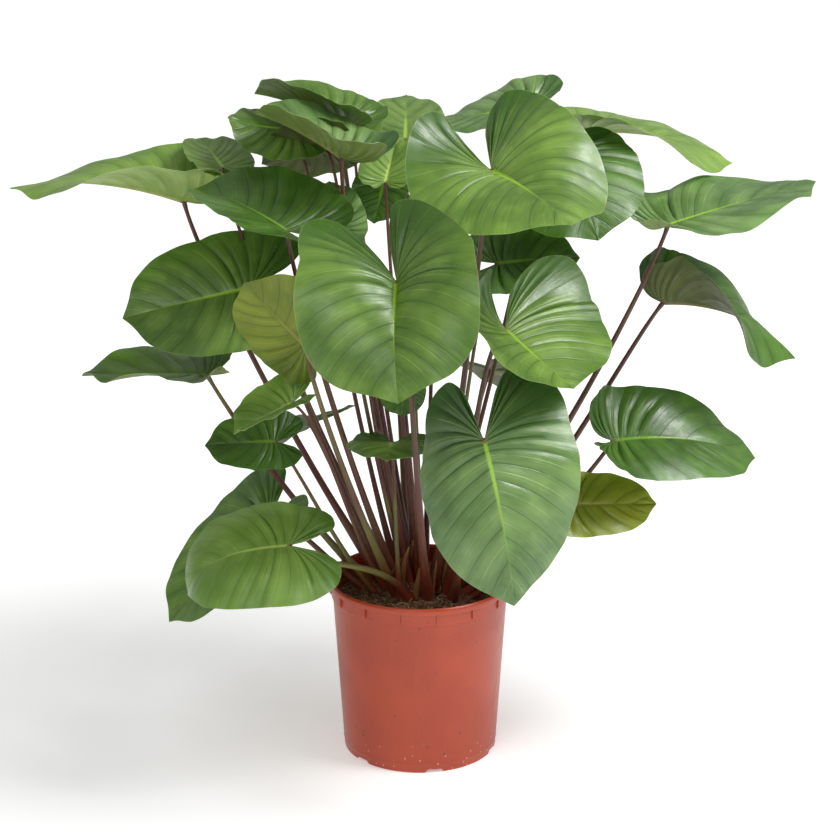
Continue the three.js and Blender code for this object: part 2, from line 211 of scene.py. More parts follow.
def fromMiddle(value):
    # distance from the middle between two whole numbers
    return maths(veins, "ABSOLUTE", maths(veins, "SUBTRACT", maths(veins, "FRACT", value), 0.5))


fromLine, fromBetween = fromMiddle(plus(veins, number, 0.5)), fromMiddle(number)
fade = ramp(veins, outward, 0.7, 1.0, 1.0, 0.25)
lineWidth = given["Line width"]
line = ramp(veins, times(veins, fromLine, spacing), times(veins, lineWidth, 0.2), lineWidth, 1.0, 0.0)
between = ramp(veins, times(veins, fromBetween, spacing), 0.1, 0.7, 1.0, 0.0)
alongVeins = addNode(veins, "ShaderNodeCombineXYZ", i0=times(veins, number, 7.0),
                     i1=times(veins, outward, 2.4), i2=times(veins, toTip, 3.0))
fibres = addNode(veins, "ShaderNodeTexNoise", Vector=alongVeins.outputs[0], Scale=1.6, Detail=3.0)
ribWide = plus(veins, times(veins, given["Midrib width"], ramp(veins, toTip, 0.0, 1.0, 1.0, 0.12)), 0.15)
rib = ramp(veins, maths(veins, "DIVIDE", fromRib, ribWide), 0.45, 1.15, 1.0, 0.0)
ribFade = times(veins, ramp(veins, toTip, -0.03, 0.0), ramp(veins, toTip, 0.22, 0.72, 1.0, 0.14))
besideJoint = ramp(veins, fromRib, 1.2, 3.6, 1.0, 0.0)
nearJoint = ramp(veins, maths(veins, "ABSOLUTE", toTip), 0.008, 0.03, 1.0, 0.0)
for label, value in (("Line", times(veins, line, fade)), ("Between", times(veins, between, fade)),
                     ("Ridge", ramp(veins, fromLine, 0.0, 0.34)), ("Fine", fibres.outputs["Fac"]),
                     ("Midrib", times(veins, rib, ribFade)), ("Joint", times(veins, besideJoint, nearJoint)),
                     ("Margin", ramp(veins, outward, 0.99, 0.999))):
    veins.links.new(value, out[label])

# Finishes of the leaves, above and below: the darker colour, in the hollows and painted as shade in the valleys
# along the veins and in the lobes; the lighter colour, painted as light on the ridges; and the colours of the
# veins, of the midrib and of the margin
topPaints = {
    "fresh": ((50, 86, 18), (116, 148, 58), (142, 170, 92), (150, 192, 42), (142, 156, 92)),
    "deep": ((38, 68, 14), (84, 122, 42), (104, 140, 62), (122, 166, 50), (114, 126, 70)),
    "pale": ((84, 120, 34), (132, 164, 72), (160, 186, 104), (172, 200, 88), (160, 172, 104)),
    "blue": ((44, 82, 28), (122, 152, 88), (158, 182, 120), (146, 190, 46), (158, 156, 98)),
    "olive": ((96, 112, 16), (158, 164, 44), (158, 164, 74), (160, 164, 78), (154, 150, 84)),
}
underPaints = {
    "fresh": ((80, 102, 34), (118, 136, 58), (146, 152, 84), (140, 134, 72), (150, 150, 92)),
    "deep": ((52, 64, 20), (84, 96, 36), (112, 116, 58), (116, 100, 58), (120, 118, 72)),
    "pale": ((110, 140, 54), (148, 172, 84), (170, 186, 112), (168, 166, 98), (166, 172, 108)),
    "blue": ((84, 104, 42), (122, 140, 68), (148, 156, 92), (146, 136, 80), (158, 152, 98)),
    "olive": ((64, 86, 6), (120, 134, 22), (142, 150, 66), (136, 132, 58), (150, 146, 84)),
}
topFinish = dict(roughness=0.36, coat=0.12, lineShare=0.5, ribWidth=3.0, lobePaintedShade=0.85)
underFinish = dict(roughness=0.55, coat=0.0, lineShare=0.55, ribWidth=2.4, lobePaintedShade=0.2)
jointRed = paint(112, 58, 40)


def leafMaterial(name, paints, roughness, coat, lineShare, ribWidth, lobePaintedShade):
    deep, light, vein, rib, edge = (paint(*parts) for parts in paints)
    material, tree, shader = newMaterial(name, roughness, coat, 0.12)
    number = addNode(tree, "ShaderNodeUVMap", {"uv_map": "veinMap"}).outputs[0]
    measures = addNode(tree, "ShaderNodeAttribute", {"attribute_name": "leafMeasures"}).outputs["Vector"]
    place, toTip = objectPlace(tree), split(tree, measures)[1]
    lines = placeGroup(tree, veins, **{"Pattern": number, "Leaf": measures, "Midrib width": ribWidth})
    broad = cloudMask(tree, place, 9.0, 3.0, 0.36, 0.64)
    small = cloudMask(tree, place, 70.0, 5.0, 0.3, 0.7)
    patchy = cloudMask(tree, place, 24.0, 2.0, 0.36, 0.66)
    # painted light: the ridges between the veins blend towards the lighter colour
    ridges = times(tree, times(tree, lines["Ridge"], patchy), 0.34)
    tone = plus(tree, times(tree, broad, 0.4), plus(tree, ridges, times(tree, lines["Fine"], 0.44)))
    between = times(tree, times(tree, lines["Between"], lineShare), plus(tree, patchy, 0.25))
    # painted shade: the lobes behind the joint and the valleys along the veins blend towards the darker colour
    colour = layered(tree, blendColours(tree, tone, deep, light), [
        (ramp(tree, toTip, -0.5, 0.12, lobePaintedShade, 0.0), 1, deep), (lines["Line"], 0.6, deep),
        (between, 1, vein), (lines["Midrib"], 0.85, rib), (lines["Joint"], 0.75, jointRed),
        (lines["Margin"], 0.5, edge)])
    tree.links.new(colour, shader.inputs["Base Color"])
    gloss = ramp(tree, small, 0.0, 1.0, roughness - 0.05, roughness + 0.09)
    tree.links.new(gloss, shader.inputs["Roughness"])
    grooves = plus(tree, times(tree, lines["Line"], 0.5), times(tree, lines["Between"], 0.22))
    addBump(tree, shader, maths(tree, "SUBTRACT", times(tree, lines["Fine"], 0.6), grooves), 0.5, 0.0011)
    return material


leafTops = {look: leafMaterial("leafTop_" + look, paints, **topFinish) for look, paints in topPaints.items()}
leafUnders = {look: leafMaterial("leafUnder_" + look, paints, **underFinish)
              for look, paints in underPaints.items()}
print("finishes of the leaves are ready")

# Leaves. at is where the stalk meets the blade, root where the stalk enters the soil, turn the compass angle,
# pitch and roll of the blade, size its length, width and lobe length, all in millimetres and degrees. Pairs are
# the left and right halves, seen from above with the tip ahead. A leaf marked extra has no node of its own.
leaves = [
    dict(name="front_broad", at=(-27, -255, 702), turn=(-95, -29, -12), size=(152, 237, 95), root=(12, -14),
         bend=39, lobeBend=(15, -10), fold=(45, 44), tipFold=(13, 2), curl=(-39, -31), skew=0.4, look="fresh",
         veins=13),
    dict(name="top_broad", at=(85, -150, 812), turn=(-60, -3, -9), size=(165, 226, 103), root=(14, 4),
         bend=16, lobeBend=(20, 56), fold=(40, 12), tipFold=(-13, 4), curl=(-24, -41), skew=-0.26,
         look="fresh",
         veins=14),
    dict(name="right_broad", at=(104, -150, 616), turn=(-47, -26, 4), size=(120, 260, 85), root=(30, -4),
         bend=-5, lobeBend=(51, 66), fold=(18, 10), tipFold=(11, 0), curl=(-11, 32), skew=-0.4, look="fresh",
         veins=12),
    dict(name="low_broad", at=(76, -250, 507), turn=(-72, -44, -10), size=(199, 219, 103), root=(40, -14),
         bend=51, lobeBend=(-10, -3), fold=(4, -27), tipFold=(-22, -19), curl=(-16, -39), skew=-0.18,
         look="blue",
         veins=13),
    dict(name="under_small", at=(-35, -45, 437), turn=(-95, 15, 0), size=(70, 114, 40), root=(-26, -20),
         bend=30, lobeBend=20, fold=5, curl=-20, look="fresh"),
    dict(name="low_left_back", at=(-199, 0, 318), turn=(-165, -40, 14), size=(182, 178, 62), root=(-54, 20),
         bend=10, lobeBend=10, fold=15, curl=-20, look="fresh"),
    dict(name="low_left_front", at=(-163, -150, 336), turn=(-172, -2, 18), size=(152, 180, 62), root=(-8,
                                                                                                      -24),
         bend=75, bendPower=2, lobeBend=-10, fold=(5, 12), curl=(-45, -25), bow=-0.13, lift=0.7, look="pale"),
    dict(name="left_mid", at=(-273, 0, 513), turn=(-178, 3, 6), size=(154, 145, 36), root=(-54, 36),
         bend=5, lobeBend=30, fold=(22, 12), curl=-10, wave=6, look="fresh"),
    dict(name="left_dark", at=(-184, -45, 438), turn=(180, 0, 32), size=(88, 98, 35), root=(-50, 4),
         bend=10, fold=10, curl=-10, look="deep"),
    dict(name="left_pale", at=(-160, -75, 499), turn=(-165, -22, 0), size=(80, 100, 34), root=(-36, 6),
         bend=5, fold=(18, 36), curl=-10, look="pale"),
    dict(name="left_big", at=(-215, 0, 629), turn=(-170, -10, 42), size=(160, 180, 76), root=(-30, 26),
         bend=5, fold=10, curl=-20, look="fresh", veins=12),
    dict(name="left_under", at=(-142, -105, 583), turn=(-171, 48, -62), size=(106, 145, 48), root=(-24, -4),
         fold=10, look="olive"),
    dict(name="left_cup", at=(-163, -78, 721), turn=(147, 24, 0), size=(140, 192, 64), root=(-22, 16),
         bend=18, lobeBend=20, fold=(18, 20), curl=(-10, 5), look="deep", veins=12),
    dict(name="far_left", at=(-304, 80, 723), turn=(180, 20, 0), size=(218, 188, 72), root=(-38, 36),
         bend=30, lobeBend=30, fold=(48, 46), tipFold=(0, -6), curl=-20, wave=5, look="pale"),
    dict(name="upper_left_fold", at=(-162, 60, 822), turn=(185, 0, 0), size=(80, 112, 46), root=(-22, 40),
         bend=-20, fold=(-35, 15), look="fresh"),
    dict(name="top_left_curl", at=(-102, 80, 825), turn=(160, 25, 0), size=(118, 136, 56), root=(-8, 42),
         bend=20, lobeBend=30, fold=(45, 28), curl=-20, look="fresh"),
    dict(name="top_centre", at=(-97, -20, 801), turn=(165, 34, 0), size=(120, 140, 80), root=(-10, 24),
         bend=20, lobeBend=75, fold=(45, 35), curl=-30, look="blue"),
    dict(name="top_back", at=(-19, 150, 791), turn=(90, 8, 0), size=(176, 112, 50), root=(4, 42), fold=4,
         look="fresh"),
    dict(name="top_ridge", at=(141, 105, 839), turn=(165, -8, 12), size=(122, 120, 45), root=(22, 44),
         bend=5, lobeBend=10, fold=(10, 30), tipFold=0, curl=-15, look="blue"),
    dict(name="top_right_flat", at=(220, 115, 808), turn=(8, 2, -8), size=(194, 190, 65), root=(36, 40),
         bend=32, lobeBend=20, fold=(5, 34), tipFold=(0, -10), curl=-15, look="pale", veins=12),
    dict(name="right_shade", at=(182, 20, 789), turn=(-70, -28, -15), size=(120, 184, 48), root=(30, 28),
         bend=30, fold=5, curl=-25, look="deep"),
    dict(name="far_right", at=(310, -20, 715), turn=(16, 14, 0), size=(196, 185, 62), root=(42, 22),
         bend=3, lobeBend=(55, 45), fold=(22, 8), tipFold=(8, 4), curl=-15, wave=7, look="blue", veins=12),
    dict(name="right_curl", at=(312, 25, 603), turn=(3, 2, 0), size=(190, 158, 70), root=(50, 32),
         bend=50, lobeBend=(95, 90), fold=(50, 60), tipFold=(-10, -55), curl=-10, wave=4, arrive=0.7,
         look="deep"),
    dict(name="right_low", at=(245, -60, 444), turn=(2, 8, -30), size=(193, 152, 46), root=(46, 0),
         bend=42, lobeBend=70, fold=(25, 15), tipFold=5, curl=-15, wave=4, look="deep"),
    dict(name="right_yellow", at=(187, -90, 369), turn=(4, 0, -45), size=(110, 92, 40), root=(54, -12),
         bend=5, fold=5, curl=-10, look="olive"),
    dict(name="back_right", at=(97, -15, 664), turn=(5, 6, -45), size=(103, 100, 44), root=(17, 22),
         bend=12, fold=10, look="deep"),
    dict(name="rear_left", at=(-40, 190, 560), turn=(104, -22, 0), size=(150, 178, 72), root=(-12, 56),
         bend=30, lobeBend=15, fold=12, curl=-20, look="fresh"),
    dict(name="rear_right", at=(95, 170, 470), turn=(62, -18, 0), size=(140, 140, 60), root=(12, 56),
         bend=30, lobeBend=15, fold=12, curl=-20, look="deep"),
    dict(name="mid_small", at=(-102, -40, 713), turn=(100, 35, 0), size=(84, 76, 30), root=(-14, 30),
         bend=5, fold=10, look="blue", extra=True),
    dict(name="upper_left_back", at=(-252, 60, 771), turn=(110, 12, 0), size=(105, 85, 40), root=(-30, 62),
         bend=5, fold=15, look="fresh", extra=True),
    dict(name="tiny_upright", at=(-84, 100, 791), turn=(75, 28, 0), size=(90, 62, 25), root=(-6, 62),
         fold=15, look="pale", extra=True),
    dict(name="centre_fan", at=(-43, 20, 761), turn=(80, 30, 0), size=(80, 75, 15), root=(0, 30),
         fold=15, curl=10, look="pale", extra=True),
    dict(name="yellow_under", at=(-117, 40, 798), turn=(161, -15, -53), size=(90, 100, 40), root=(-18, 54),
         fold=10, look="deep", extra=True),
    dict(name="shade_small", at=(-46, 60, 750), turn=(-110, -50, 0), size=(55, 80, 30), root=(-4, 50),
         fold=10, look="deep", extra=True),
    dict(name="tip_behind", at=(-22, -40, 512), turn=(-90, -60, 0), size=(40, 60, 24), root=(6, 22),
         fold=10, curl=-15, look="deep", extra=True),
    dict(name="rear_middle", at=(20, 215, 690), turn=(86, -12, 4), size=(160, 176, 70), root=(6, 66),
         bend=30, lobeBend=15, fold=12, curl=-22, look="fresh", extra=True),
    dict(name="rear_low", at=(-150, 150, 400), turn=(130, -18, 0), size=(130, 142, 54), root=(-30, 58),
         bend=32, lobeBend=12, fold=14, curl=-20, look="deep", extra=True),
]

# Blade settings
blade = {
    "tipReach": 1.04,          # the tip's place, in blade lengths
    "notchPlace": 0.1,         # where the margin leaves the notch
    "fanShare": 0.42,          # share of the margin that the veins from the stalk's joint reach
    "veinSag": 0.13,
    "waveCount": 3,
    "lobeGive": 0.7,
    "thickness": 0.9,
    "edgeThickness": 0.45,
    "veins": 11,               # side veins in each half
    "veinCrowding": 0.94,      # below 1, the veins stand closer by the notch
    "outSpread": 1.35,         # above 1, the steps out along a vein are finer where it starts
    "valleyShape": 0.62,       # below 1, valleys are narrower than the ridges between them
    "meanHeight": 0.62,
    "ridgeGroove": 0.14,       # shallow groove along the top of a ridge, and its width
    "grooveWidth": 0.07,
    "pleatShare": 0.21,        # height of a pleat as a share of its width
    "pleatMost": 3.6,
    "ruffle": 1.3,             # unevenness of the margin
    "sway": 1.6,               # slow unevenness of the whole blade
    "underRib": 2.6,           # how far the midrib stands out below
    "channel": 0.7,            # depth and width of the channel above the midrib
    "channelWidth": 2.6,
    "mergeSteps": 500,         # steps to the millimetre when points that meet are merged
    "fineSteps": (150, 26),    # steps round the margin and out along a vein, for the broad front leaves
    "plainSteps": (104, 16),
}
fineLeaves = ("front_broad", "top_broad", "right_broad", "low_broad")

# Outline of half a blade: place along the margin, distance out in half widths, distance along in lobe lengths
# to the rear and blade lengths to the front
marginKnots = np.array([
    (0, 0, 0), (0.05, 0.07, -0.3), (0.12, 0.2, -0.7), (0.2, 0.42, -0.985), (0.29, 0.7, -0.9), (0.39, 0.92,
                                                                                               -0.45),
    (0.48, 1, 0.04), (0.6, 0.98, 0.34), (0.72, 0.85, 0.64), (0.83, 0.59, 0.86), (0.92, 0.23, 0.965), (1, 0,
                                                                                                      1.04)])


def marginPoints(place):
    # smooth curve through the knots
    knots = marginKnots
    slopes = np.zeros((len(knots), 2))
    for i in range(len(knots)):
        before, after = knots[max(i - 1, 0)], knots[min(i + 1, len(knots) - 1)]
        slopes[i] = (after[1:] - before[1:]) / (after[0] - before[0])
    i = np.clip(np.searchsorted(knots[:, 0], place, side="right") - 1, 0, len(knots) - 2)
    span = (knots[i + 1, 0] - knots[i, 0])[:, None]
    u = (place - knots[i, 0])[:, None] / span
    return ((2 * u**3 - 3 * u**2 + 1) * knots[i, 1:] + (u**3 - 2 * u**2 + u) * span * slopes[i]
            + (3 * u**2 - 2 * u**3) * knots[i + 1, 1:] + (u**3 - u**2) * span * slopes[i + 1])


def flatPoints(leaf, place, outward):
    length, width, lobe = leaf["size"]
    edge = marginPoints(place)
    edgeX = edge[:, 0] * width / 2
    edgeY = edge[:, 1] * np.where(edge[:, 1] < 0, lobe, length)
    share = np.clip((place - blade["fanShare"]) / (1 - blade["fanShare"]), 0, 1)
    root = blade["tipReach"] * length * (0.24 * share + 0.76 * share**2.6)
    dx, dy = edgeX, edgeY - root
    sag = blade["veinSag"] * np.clip((place - 0.18) / 0.3, 0, 1) * np.clip((1 - place) / 0.1, 0, 1)
    bendX, bendY = 0.45 * dx + sag * dy, root + 0.45 * dy - sag * dx
    x = 2 * outward * (1 - outward) * bendX + outward**2 * edgeX
    y = (1 - outward) ** 2 * root + 2 * outward * (1 - outward) * bendY + outward**2 * edgeY
    return x, y


def half(value, side):
    return value[1 if side > 0 else 0] if isinstance(value, tuple) else value


def bladeAxes(leaf):
    yaw, pitch, roll = (math.radians(angle) for angle in leaf["turn"])
    ahead = np.array([math.cos(yaw) * math.cos(pitch), math.sin(yaw) * math.cos(pitch), math.sin(pitch)])
    level = np.array([-math.cos(yaw) * math.sin(pitch), -math.sin(yaw) * math.sin(pitch), math.cos(pitch)])
    aside = np.cross(ahead, level)
    right = aside * math.cos(roll) + level * math.sin(roll)
    up = level * math.cos(roll) - aside * math.sin(roll)
    return right, ahead, up


def bladePoints(leaf, place, outward, side):
    # middle surface of a bent blade, in millimetres, and the flat place of each point
    length, width, lobe = leaf["size"]
    x, y = flatPoints(leaf, place, outward)
    ease = smooth(y / length, 0, 1)
    fold = half(leaf.get("fold", 0), side)
    tipFold = half(leaf.get("tipFold", leaf.get("fold", 0)), side)
    angle = np.radians(fold + (tipFold - fold) * ease)
    curl = math.radians(half(leaf.get("curl", 0), side)) / (width / 2)
    if curl:
        across = (np.sin(angle + curl * x) - np.sin(angle)) / curl
        rise = (np.cos(angle) - np.cos(angle + curl * x)) / curl
    else:
        across, rise = x * np.cos(angle), x * np.sin(angle)
    fade = np.clip((1 - place) * 6, 0, 1) * np.clip(place * 6, 0, 1)
    phase = 2 * math.pi * blade["waveCount"] * place + (0 if side > 0 else 1.7)
    rise = rise + leaf.get("wave", 0) * outward**2 * np.sin(phase) * fade

    forward = np.maximum(y, 0)
    total = math.radians(leaf.get("bend", 0))
    power = leaf.get("bendPower", 1)
    steps = (np.arange(16) + 0.5) / 16
    angles = total * (forward[:, None] * steps / length) ** power
    run, drop = forward * np.cos(angles).mean(1), forward * np.sin(angles).mean(1)
    slope = total * (forward / length) ** power
    behind = np.maximum(0.35 * x - y, 0)
    flatCurve = math.radians(half(leaf.get("lobeBend", 0), side)) / lobe
    if flatCurve:
        curve = flatCurve / (1 + blade["lobeGive"] * max(flatCurve, 0) * np.maximum(rise, 0))
        back, lift = np.sin(curve * behind) / curve, (1 - np.cos(curve * behind)) / curve
    else:
        curve, back, lift = 0, behind, 0
    tilt = -slope - curve * behind
    along = np.where(y > 0, run, y) + behind - back - rise * np.sin(tilt)
    height = lift - drop + rise * np.cos(tilt)
    sideways = side * across + leaf.get("skew", 0) * np.maximum(-y, 0)
    right, ahead, up = bladeAxes(leaf)
    points = (np.array(leaf["at"], float) + sideways[:, None] * right + along[:, None] * ahead
              + height[:, None] * up)
    return points, x, y


def pointNormals(points, faces):
    a, b, c = (points[faces[:, i]] for i in range(3))
    flat = np.cross(b - a, c - a)
    normals = np.zeros_like(points)
    for i in range(3):
        np.add.at(normals, faces[:, i], flat)
    lengths = np.linalg.norm(normals, axis=1, keepdims=True)
    return normals / np.maximum(lengths, 1e-12)


def newPiece(name, points, faces, materials, faceMaterials=None, smoothAngle=50):
    mesh = bpy.data.meshes.new(name)
    mesh.from_pydata([tuple(p) for p in points], [], [tuple(f) for f in faces])
    for material in materials:
        mesh.materials.append(material)
    if faceMaterials is not None:
        mesh.polygons.foreach_set("material_index", np.asarray(faceMaterials, np.int32))
    mesh.shade_smooth()
    mesh.set_sharp_from_angle(angle=math.radians(smoothAngle))
    piece = addObject(name, mesh)
    return piece


def buildBlade(leaf):
    dice = diceFor(leaf["name"])
    marginCount, outCount = blade["fineSteps"] if leaf["name"] in fineLeaves else blade["plainSteps"]
    notch = blade["notchPlace"]
    places = notch + (1 - notch) * np.linspace(0, 1, marginCount + 1)
    outs = np.linspace(0, 1, outCount + 1) ** blade["outSpread"]
    gridPlace, gridOut = np.meshgrid(places, outs, indexing="ij")
    shape = gridPlace.shape
    length = leaf["size"][0]
    veinCount = leaf.get("veins", blade["veins"])

    base, heights, measures, numbers = [], [], [], []
    phases = dice.uniform(0, 2 * math.pi, 8)
    for side in (1, -1):
        points, x, y = bladePoints(leaf, gridPlace.ravel(), gridOut.ravel(), side)
        grid = points.reshape(*shape, 3)
        share = (gridPlace - notch) / (1 - notch)
        number = veinCount * share ** blade["veinCrowding"]
        number = number + 0.2 * np.sin(2.3 * veinCount * share / 2 + phases[0] + side)
        number = number + 0.12 * np.sin(veinCount * share * 1.9 + phases[1])
        spacing = np.linalg.norm(np.gradient(grid, axis=0), axis=2)
        spacing = spacing / np.maximum(np.gradient(number, axis=0), 0.02)

        # pleats: a narrow valley along each vein and a rounded ridge between two
        valley = np.abs(np.sin(math.pi * number)) ** blade["valleyShape"]
        between = np.exp(-(((number % 1) - 0.5) / blade["grooveWidth"]) ** 2)
        strength = 0.72 + 0.3 * np.sin(number * 1.7 + phases[2] + side)
        strength = strength + 0.22 * np.sin(number * 3.1 + phases[7])
        strength *= 1.75 - 1.35 * smooth(gridPlace, 0.46, 0.76)
        tall = np.minimum(blade["pleatShare"] * spacing, blade["pleatMost"]) * strength
        calm = smooth(gridOut, 0.0, 0.16) * (1 - 0.7 * smooth(gridOut, 0.45, 1.0))
        calm = calm * smooth(1 - gridPlace, 0, 0.1)
        height = tall * calm * (valley - blade["meanHeight"] - blade["ridgeGroove"] * between)

        # uneven margin and slow sway of the surface
        wander = np.sin(gridPlace * 31 + phases[3] + side) + 0.6 * np.sin(gridPlace * 53 + phases[4] - side)
        height += blade["ruffle"] * wander * gridOut**4 * smooth(1 - gridPlace, 0, 0.12)
        flatX, flatY = side * x.reshape(shape), y.reshape(shape)
        sway = np.sin(flatX / 27 + phases[5]) * np.sin(flatY / 33 + phases[6])
        height += blade["sway"] * sway * smooth(gridOut, 0.05, 0.5)
        base.append(points)
        heights.append(height.ravel())
        measures.append(np.stack([flatX.ravel(), flatY.ravel() / length, spacing.ravel()], 1))
        numbers.append(number.ravel())
    base, heights = np.vstack(base), np.concatenate(heights)
    measures, numbers = np.vstack(measures), np.concatenate(numbers)
    outwards = np.tile(gridOut.ravel(), 2)

    # one sheet of triangles that look up, with the points that meet at the joint and on the midrib merged
    i, j = np.meshgrid(np.arange(marginCount), np.arange(outCount), indexing="ij")
    a = (i * (outCount + 1) + j).ravel()
    b, c, d = a + 1, a + outCount + 2, a + outCount + 1
    rightHalf = np.concatenate([np.stack([a, b, c], 1), np.stack([a, c, d], 1)])
    leftHalf = rightHalf[:, ::-1] + gridPlace.size
    corners = np.concatenate([rightHalf, leftHalf])
    rounded = np.round(base * blade["mergeSteps"]).astype(np.int64)
    _, first, merged = np.unique(rounded, axis=0, return_index=True, return_inverse=True)
    merged = merged.reshape(-1)
    faces = merged[corners]
    whole = (faces[:, 0] != faces[:, 1]) & (faces[:, 1] != faces[:, 2]) & (faces[:, 0] != faces[:, 2])
    faces, corners = faces[whole], corners[whole]
    base, heights, measures = base[first], heights[first], measures[first]
    outward = outwards[first]
    normals = pointNormals(base, faces)

    # thickness, with the midrib standing out below and a shallow channel above it
    fromRib, toTip = np.abs(measures[:, 0]), measures[:, 1]
    ahead = smooth(toTip, -0.05, 0.02) * (1 - 0.8 * smooth(toTip, 0.0, 1.0))
    ribBelow = blade["underRib"] * ahead * np.exp(-(fromRib / (0.8 + 1.9 * ahead)) ** 2)
    heights = heights - blade["channel"] * ahead * np.exp(-(fromRib / blade["channelWidth"]) ** 2)
    thick = blade["thickness"] + (blade["edgeThickness"] - blade["thickness"]) * smooth(outward, 0.6, 1.0)
    top = base + normals * (heights + thick / 2)[:, None]
    below = base + normals * (heights - thick / 2 - ribBelow)[:, None]

    count = len(base)
    edges = {}
    for start, end in ((0, 1), (1, 2), (2, 0)):
        for k, pair in enumerate(zip(faces[:, start].tolist(), faces[:, end].tolist())):
            edges[pair] = (corners[k, start], corners[k, end])
    rim, rimCorners = [], []
    for (one, two), (cornerOne, cornerTwo) in edges.items():
        if (two, one) not in edges:
            rim += [(one, one + count, two + count), (one, two + count, two)]
            rimCorners += [(cornerOne, cornerOne, cornerTwo), (cornerOne, cornerTwo, cornerTwo)]
    allFaces = np.concatenate([faces, faces[:, ::-1] + count, np.array(rim)])
    allCorners = np.concatenate([corners, corners[:, ::-1], np.array(rimCorners)])
    which = np.concatenate([np.zeros(len(faces)), np.ones(len(faces)), np.zeros(len(rim))])
    look = leaf["look"]
    piece = newPiece("leaf_" + leaf["name"], np.vstack([top, below]) * mm, allFaces,
                     [leafTops[look], leafUnders[look]], which)
    uv = piece.data.uv_layers.new(name="veinMap")
    uv.data.foreach_set("uv", np.stack([numbers[allCorners], outwards[allCorners]], 2).ravel())
    stored = piece.data.attributes.new("leafMeasures", "FLOAT_VECTOR", "POINT")
    stored.data.foreach_set("vector", np.tile(measures, (2, 1)).astype(np.float32).ravel())
    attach(piece, body)
    if not leaf.get("extra"):
        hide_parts("blade_" + leaf["name"])
    return len(allFaces)


bladeTriangles = sum(buildBlade(leaf) for leaf in leaves)
print("leaves:", len(leaves), "blades,", bladeTriangles, "triangles")

# Stalks: a tube along each leaf's route, wider at the sheath in the soil and at the neck under the blade
stalk = {
    "soilTop": 214, "buried": 14,
    "neck": 60, "bow": 0.12, "arrive": 0.45, "seat": 0.4,
    "baseRadius": 5.2, "topRadius": 2.4, "taper": 0.8,
    "sheathLength": 0.14, "sheathSwell": 0.75,     # share of the length, and extra width at the soil
    "neckSwell": 0.35, "neckRange": (0.93, 0.985),
    "smallBelow": 130, "smallShare": 0.72,         # leaves smaller than this have a thinner stalk
    "points": 40, "sides": 14, "ridges": 0.22,
}


def stalkPoints(leaf):
    right, ahead, up = bladeAxes(leaf)
    arrive = up * 0.8 + ahead * leaf.get("arrive", stalk["arrive"])
    arrive /= np.linalg.norm(arrive)
    end = np.array(leaf["at"], float) - arrive * stalk["seat"]
    start = np.array([*leaf["root"], stalk["soilTop"] - stalk["buried"]], float)
    way = end - start
    share = 1 / 3 + leaf.get("bow", stalk["bow"])
    first = start + way * np.array([share, share, leaf.get("lift", 1 / 3)])
    last = end - arrive * stalk["neck"]
    u = np.linspace(0, 1, stalk["points"])[:, None]
    return (1 - u) ** 3 * start + 3 * u * (1 - u) ** 2 * first + 3 * u**2 * (1 - u) * last + u**3 * end


def addGeometryTree(name, inputs):
    tree, given, out = newTree("GeometryNodeTree", name, [("Geometry", "Geometry", None), *inputs],
                               ["Geometry"])
    return tree, given, out[0]


def identifierOf(tree, label):
    return next(item.identifier for item in tree.interface.items_tree
                if item.item_type == "SOCKET" and item.in_out == "INPUT" and item.name == label)


def runTree(source, tree, name, slotName, **inputs):
    # runs a geometry tree on an object and keeps the result as a plain mesh
    modifier = source.modifiers.new("shape", "NODES")
    modifier.node_group = tree
    for label, value in inputs.items():
        modifier[identifierOf(tree, label)] = value
    bpy.context.view_layer.update()
    evaluated = source.evaluated_get(bpy.context.evaluated_depsgraph_get())
    mesh = bpy.data.meshes.new_from_object(evaluated)
    mesh.name = name
    source.modifiers.remove(modifier)
    piece = addObject(name, mesh)
    bpy.data.objects.remove(source)
    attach(piece, body)
    return piece


def finishTree(tree, geometry, material, out, isSmooth=True):
    real = addNode(tree, "GeometryNodeRealizeInstances", i0=geometry)
    soft = addNode(tree, "GeometryNodeSetShadeSmooth", i0=real.outputs[0])
    soft.inputs["Shade Smooth"].default_value = isSmooth
    painted = addNode(tree, "GeometryNodeSetMaterial", i0=soft.outputs[0], Material=material)
    tree.links.new(painted.outputs[0], out)


def capture(tree, geometry, kind, label, value):
    # keeps a value of each point while the shape changes
    node = addNode(tree, "GeometryNodeCaptureAttribute", i0=geometry)
    node.capture_items.new(kind, label)
    tree.links.new(value, node.inputs[1])
    return node.outputs


stalkTree, given, out = addGeometryTree("stalkTube", [
    ("Sides", "Int", 14), ("Ridges", "Float", 0.2), ("Material", "Material", None)])
lengthwise = addNode(stalkTree, "GeometryNodeSplineParameter").outputs["Length"]
along = capture(stalkTree, given["Geometry"], "FLOAT", "Length", lengthwise)
circle = addNode(stalkTree, "GeometryNodeCurvePrimitiveCircle", Resolution=given["Sides"], Radius=1.0)
position = addNode(stalkTree, "GeometryNodeInputPosition").outputs[0]
around = capture(stalkTree, circle.outputs[0], "VECTOR", "Round", position)
tube = addNode(stalkTree, "GeometryNodeCurveToMesh", i0=along[0], i1=around[0],
               Scale=addNode(stalkTree, "GeometryNodeInputRadius").outputs[0])
tube.inputs["Fill Caps"].default_value = True
roundPlace = split(stalkTree, around[1])
pattern = addNode(stalkTree, "ShaderNodeCombineXYZ", i0=roundPlace[0], i1=roundPlace[1],
                  i2=along[1]).outputs[0]
stored = addNode(stalkTree, "GeometryNodeStoreNamedAttribute",
                 {"data_type": "FLOAT_VECTOR", "domain": "POINT"}, i0=tube.outputs[0], Name="stalkMeasures",
                 Value=pattern)
ribbed = vectorMaths(stalkTree, "MULTIPLY", i0=pattern, i1=(1.6, 1.6, 6.0))
ribNoise = addNode(stalkTree, "ShaderNodeTexNoise", Vector=ribbed, Scale=1.3, Detail=1.0).outputs["Fac"]
ribHeight = times(stalkTree, maths(stalkTree, "SUBTRACT", ribNoise, 0.5), given["Ridges"])
normal = addNode(stalkTree, "GeometryNodeInputNormal").outputs[0]
